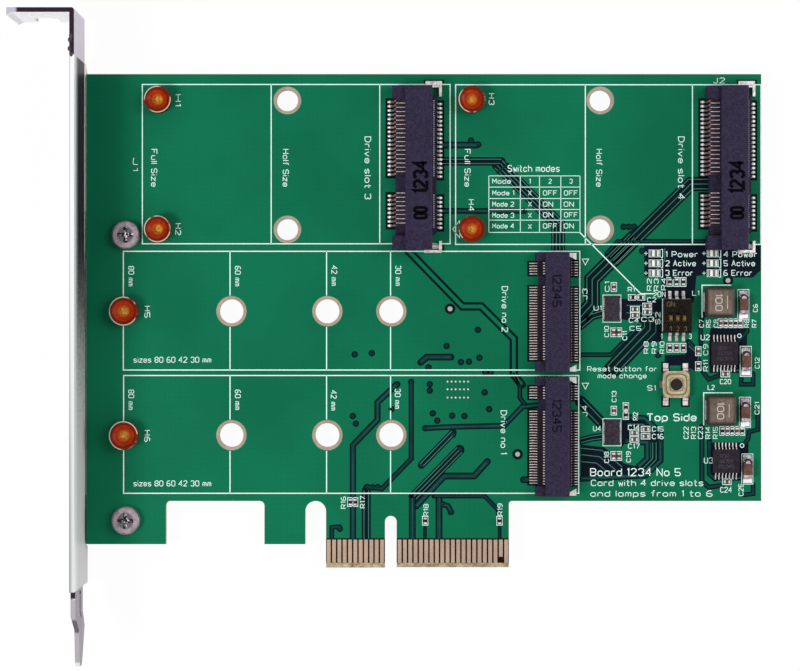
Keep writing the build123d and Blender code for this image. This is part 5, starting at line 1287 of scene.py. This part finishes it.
def seen_ray(tree):
    """A mask of the rays that see the white round the card: camera, glossy and transmission rays."""
    rays = tree.nodes.new("ShaderNodeLightPath").outputs
    seen = math_node(tree, "MAXIMUM", rays["Is Camera Ray"], rays["Is Glossy Ray"])
    return math_node(tree, "MAXIMUM", seen, rays["Is Transmission Ray"])


def show(context, name, data, place=(0.0, 0.0, 0.0)):
    """An object put into the scene at a place in millimetres."""
    obj = bpy.data.objects.new(name, data)
    obj.location = Vector(place) * MM
    context.scene.collection.objects.link(obj)
    return obj


# Soft lights: name, place, size and how many times the key power
LIGHTS = (("key", (-300, -70, 420), 160, 3.4), ("fill", (320, 160, 420), 240, 1.84),
          ("side", (400, 45, 45), 160, 2.0))
LIT_SPOT = Vector((0.0, 45.0, 0.0)) * MM
FLOOR_HALF = 900
SENSOR_W = 36.0


class CARD_OT_stage(bpy.types.Operator):
    """Floor, lights and the camera over the card"""

    bl_idname = "drive_card.stage"
    bl_label = "Stage"

    def execute(self, context):
        s = context.scene.card_stage
        paper = Finish("paper_floor", roughness=0.9, spec=0.1)
        paper.feed("Base Color", paper.mottle(grey(0.93), grey(0.9))["Color"])
        t = paper.tree
        glow = add(t, "ShaderNodeEmission", None, Color=grey(1.0), Strength=1.0)
        mixed = add(t, "ShaderNodeMixShader", None, _0=math_node(t, "MULTIPLY", seen_ray(t), 0.95),
                    _1=paper.surface.outputs[0], _2=glow.outputs[0])
        t.links.new(mixed.outputs[0], t.nodes["Material Output"].inputs[0])
        ground = Sheet()
        ground.block(-FLOOR_HALF, -FLOOR_HALF, FLOOR_HALF, FLOOR_HALF, CAD_BOX[0][2] / MM)
        floor = ground.mesh("floor")
        floor.materials.append(paper.material)
        show(context, "floor", floor)
        world = bpy.data.worlds.new("studio")
        context.scene.world = world
        world.use_nodes = True
        w = world.node_tree
        back = w.nodes["Background"]
        put(w, back.inputs[0], grey(1.0))
        put(w, back.inputs[1], add(w, "ShaderNodeMapRange", None, Value=seen_ray(w), To_Min=s.world,
                                   To_Max=1.0).outputs[0])
        for name, place, size, times in LIGHTS:
            lamp = bpy.data.lights.new(name, "AREA")
            lamp.size = size * MM
            lamp.energy = s.key_power * times
            light = show(context, name, lamp, place)
            light.rotation_euler = (LIT_SPOT - light.location).to_track_quat("-Z", "Y").to_euler()
        cam = show(context, "camera", bpy.data.cameras.new("camera"), (s.aim_x, s.aim_y, FRONT + s.height))
        cam.data.lens = s.lens
        cam.data.sensor_width = SENSOR_W
        cam.data.clip_start, cam.data.clip_end = 0.01, 10.0
        context.scene.camera = cam
        context.scene.view_settings.view_transform = "Standard"
        return {"FINISHED"}


class CARD_PT_panel(bpy.types.Panel):
    """Lists the card's steps in the sidebar"""

    bl_label = "Drive card"
    bl_space_type = "VIEW_3D"
    bl_region_type = "UI"
    bl_category = "Drive card"

    def draw(self, context):
        for step in STEPS:
            self.layout.operator(step.bl_idname)


STEPS = (CARD_OT_stage, CARD_OT_board, CARD_OT_tracks, CARD_OT_metals, CARD_OT_plastics, CARD_OT_print_lines,
         CARD_OT_sockets)
PLACES = {"card_board": BoardSettings, "card_print": PrintSettings, "card_metal": MetalSettings,
          "card_stage": StageSettings}
CLASSES = (*PLACES.values(), *STEPS, CARD_PT_panel)


def register():
    """Adds the settings, the steps and the panel."""
    for cls in CLASSES:
        bpy.utils.register_class(cls)
    for name, cls in PLACES.items():
        setattr(bpy.types.Scene, name, PointerProperty(type=cls))


def unregister():
    """Takes them away again."""
    for name in PLACES:
        delattr(bpy.types.Scene, name)
    for cls in reversed(CLASSES):
        bpy.utils.unregister_class(cls)


def main():
    """Makes every piece."""
    register()
    card = bpy.ops.drive_card
    card.stage()
    card.board()
    card.tracks()
    card.metals()
    card.plastics()
    card.print_lines()
    card.sockets()


if __name__ == "__main__":
    main()
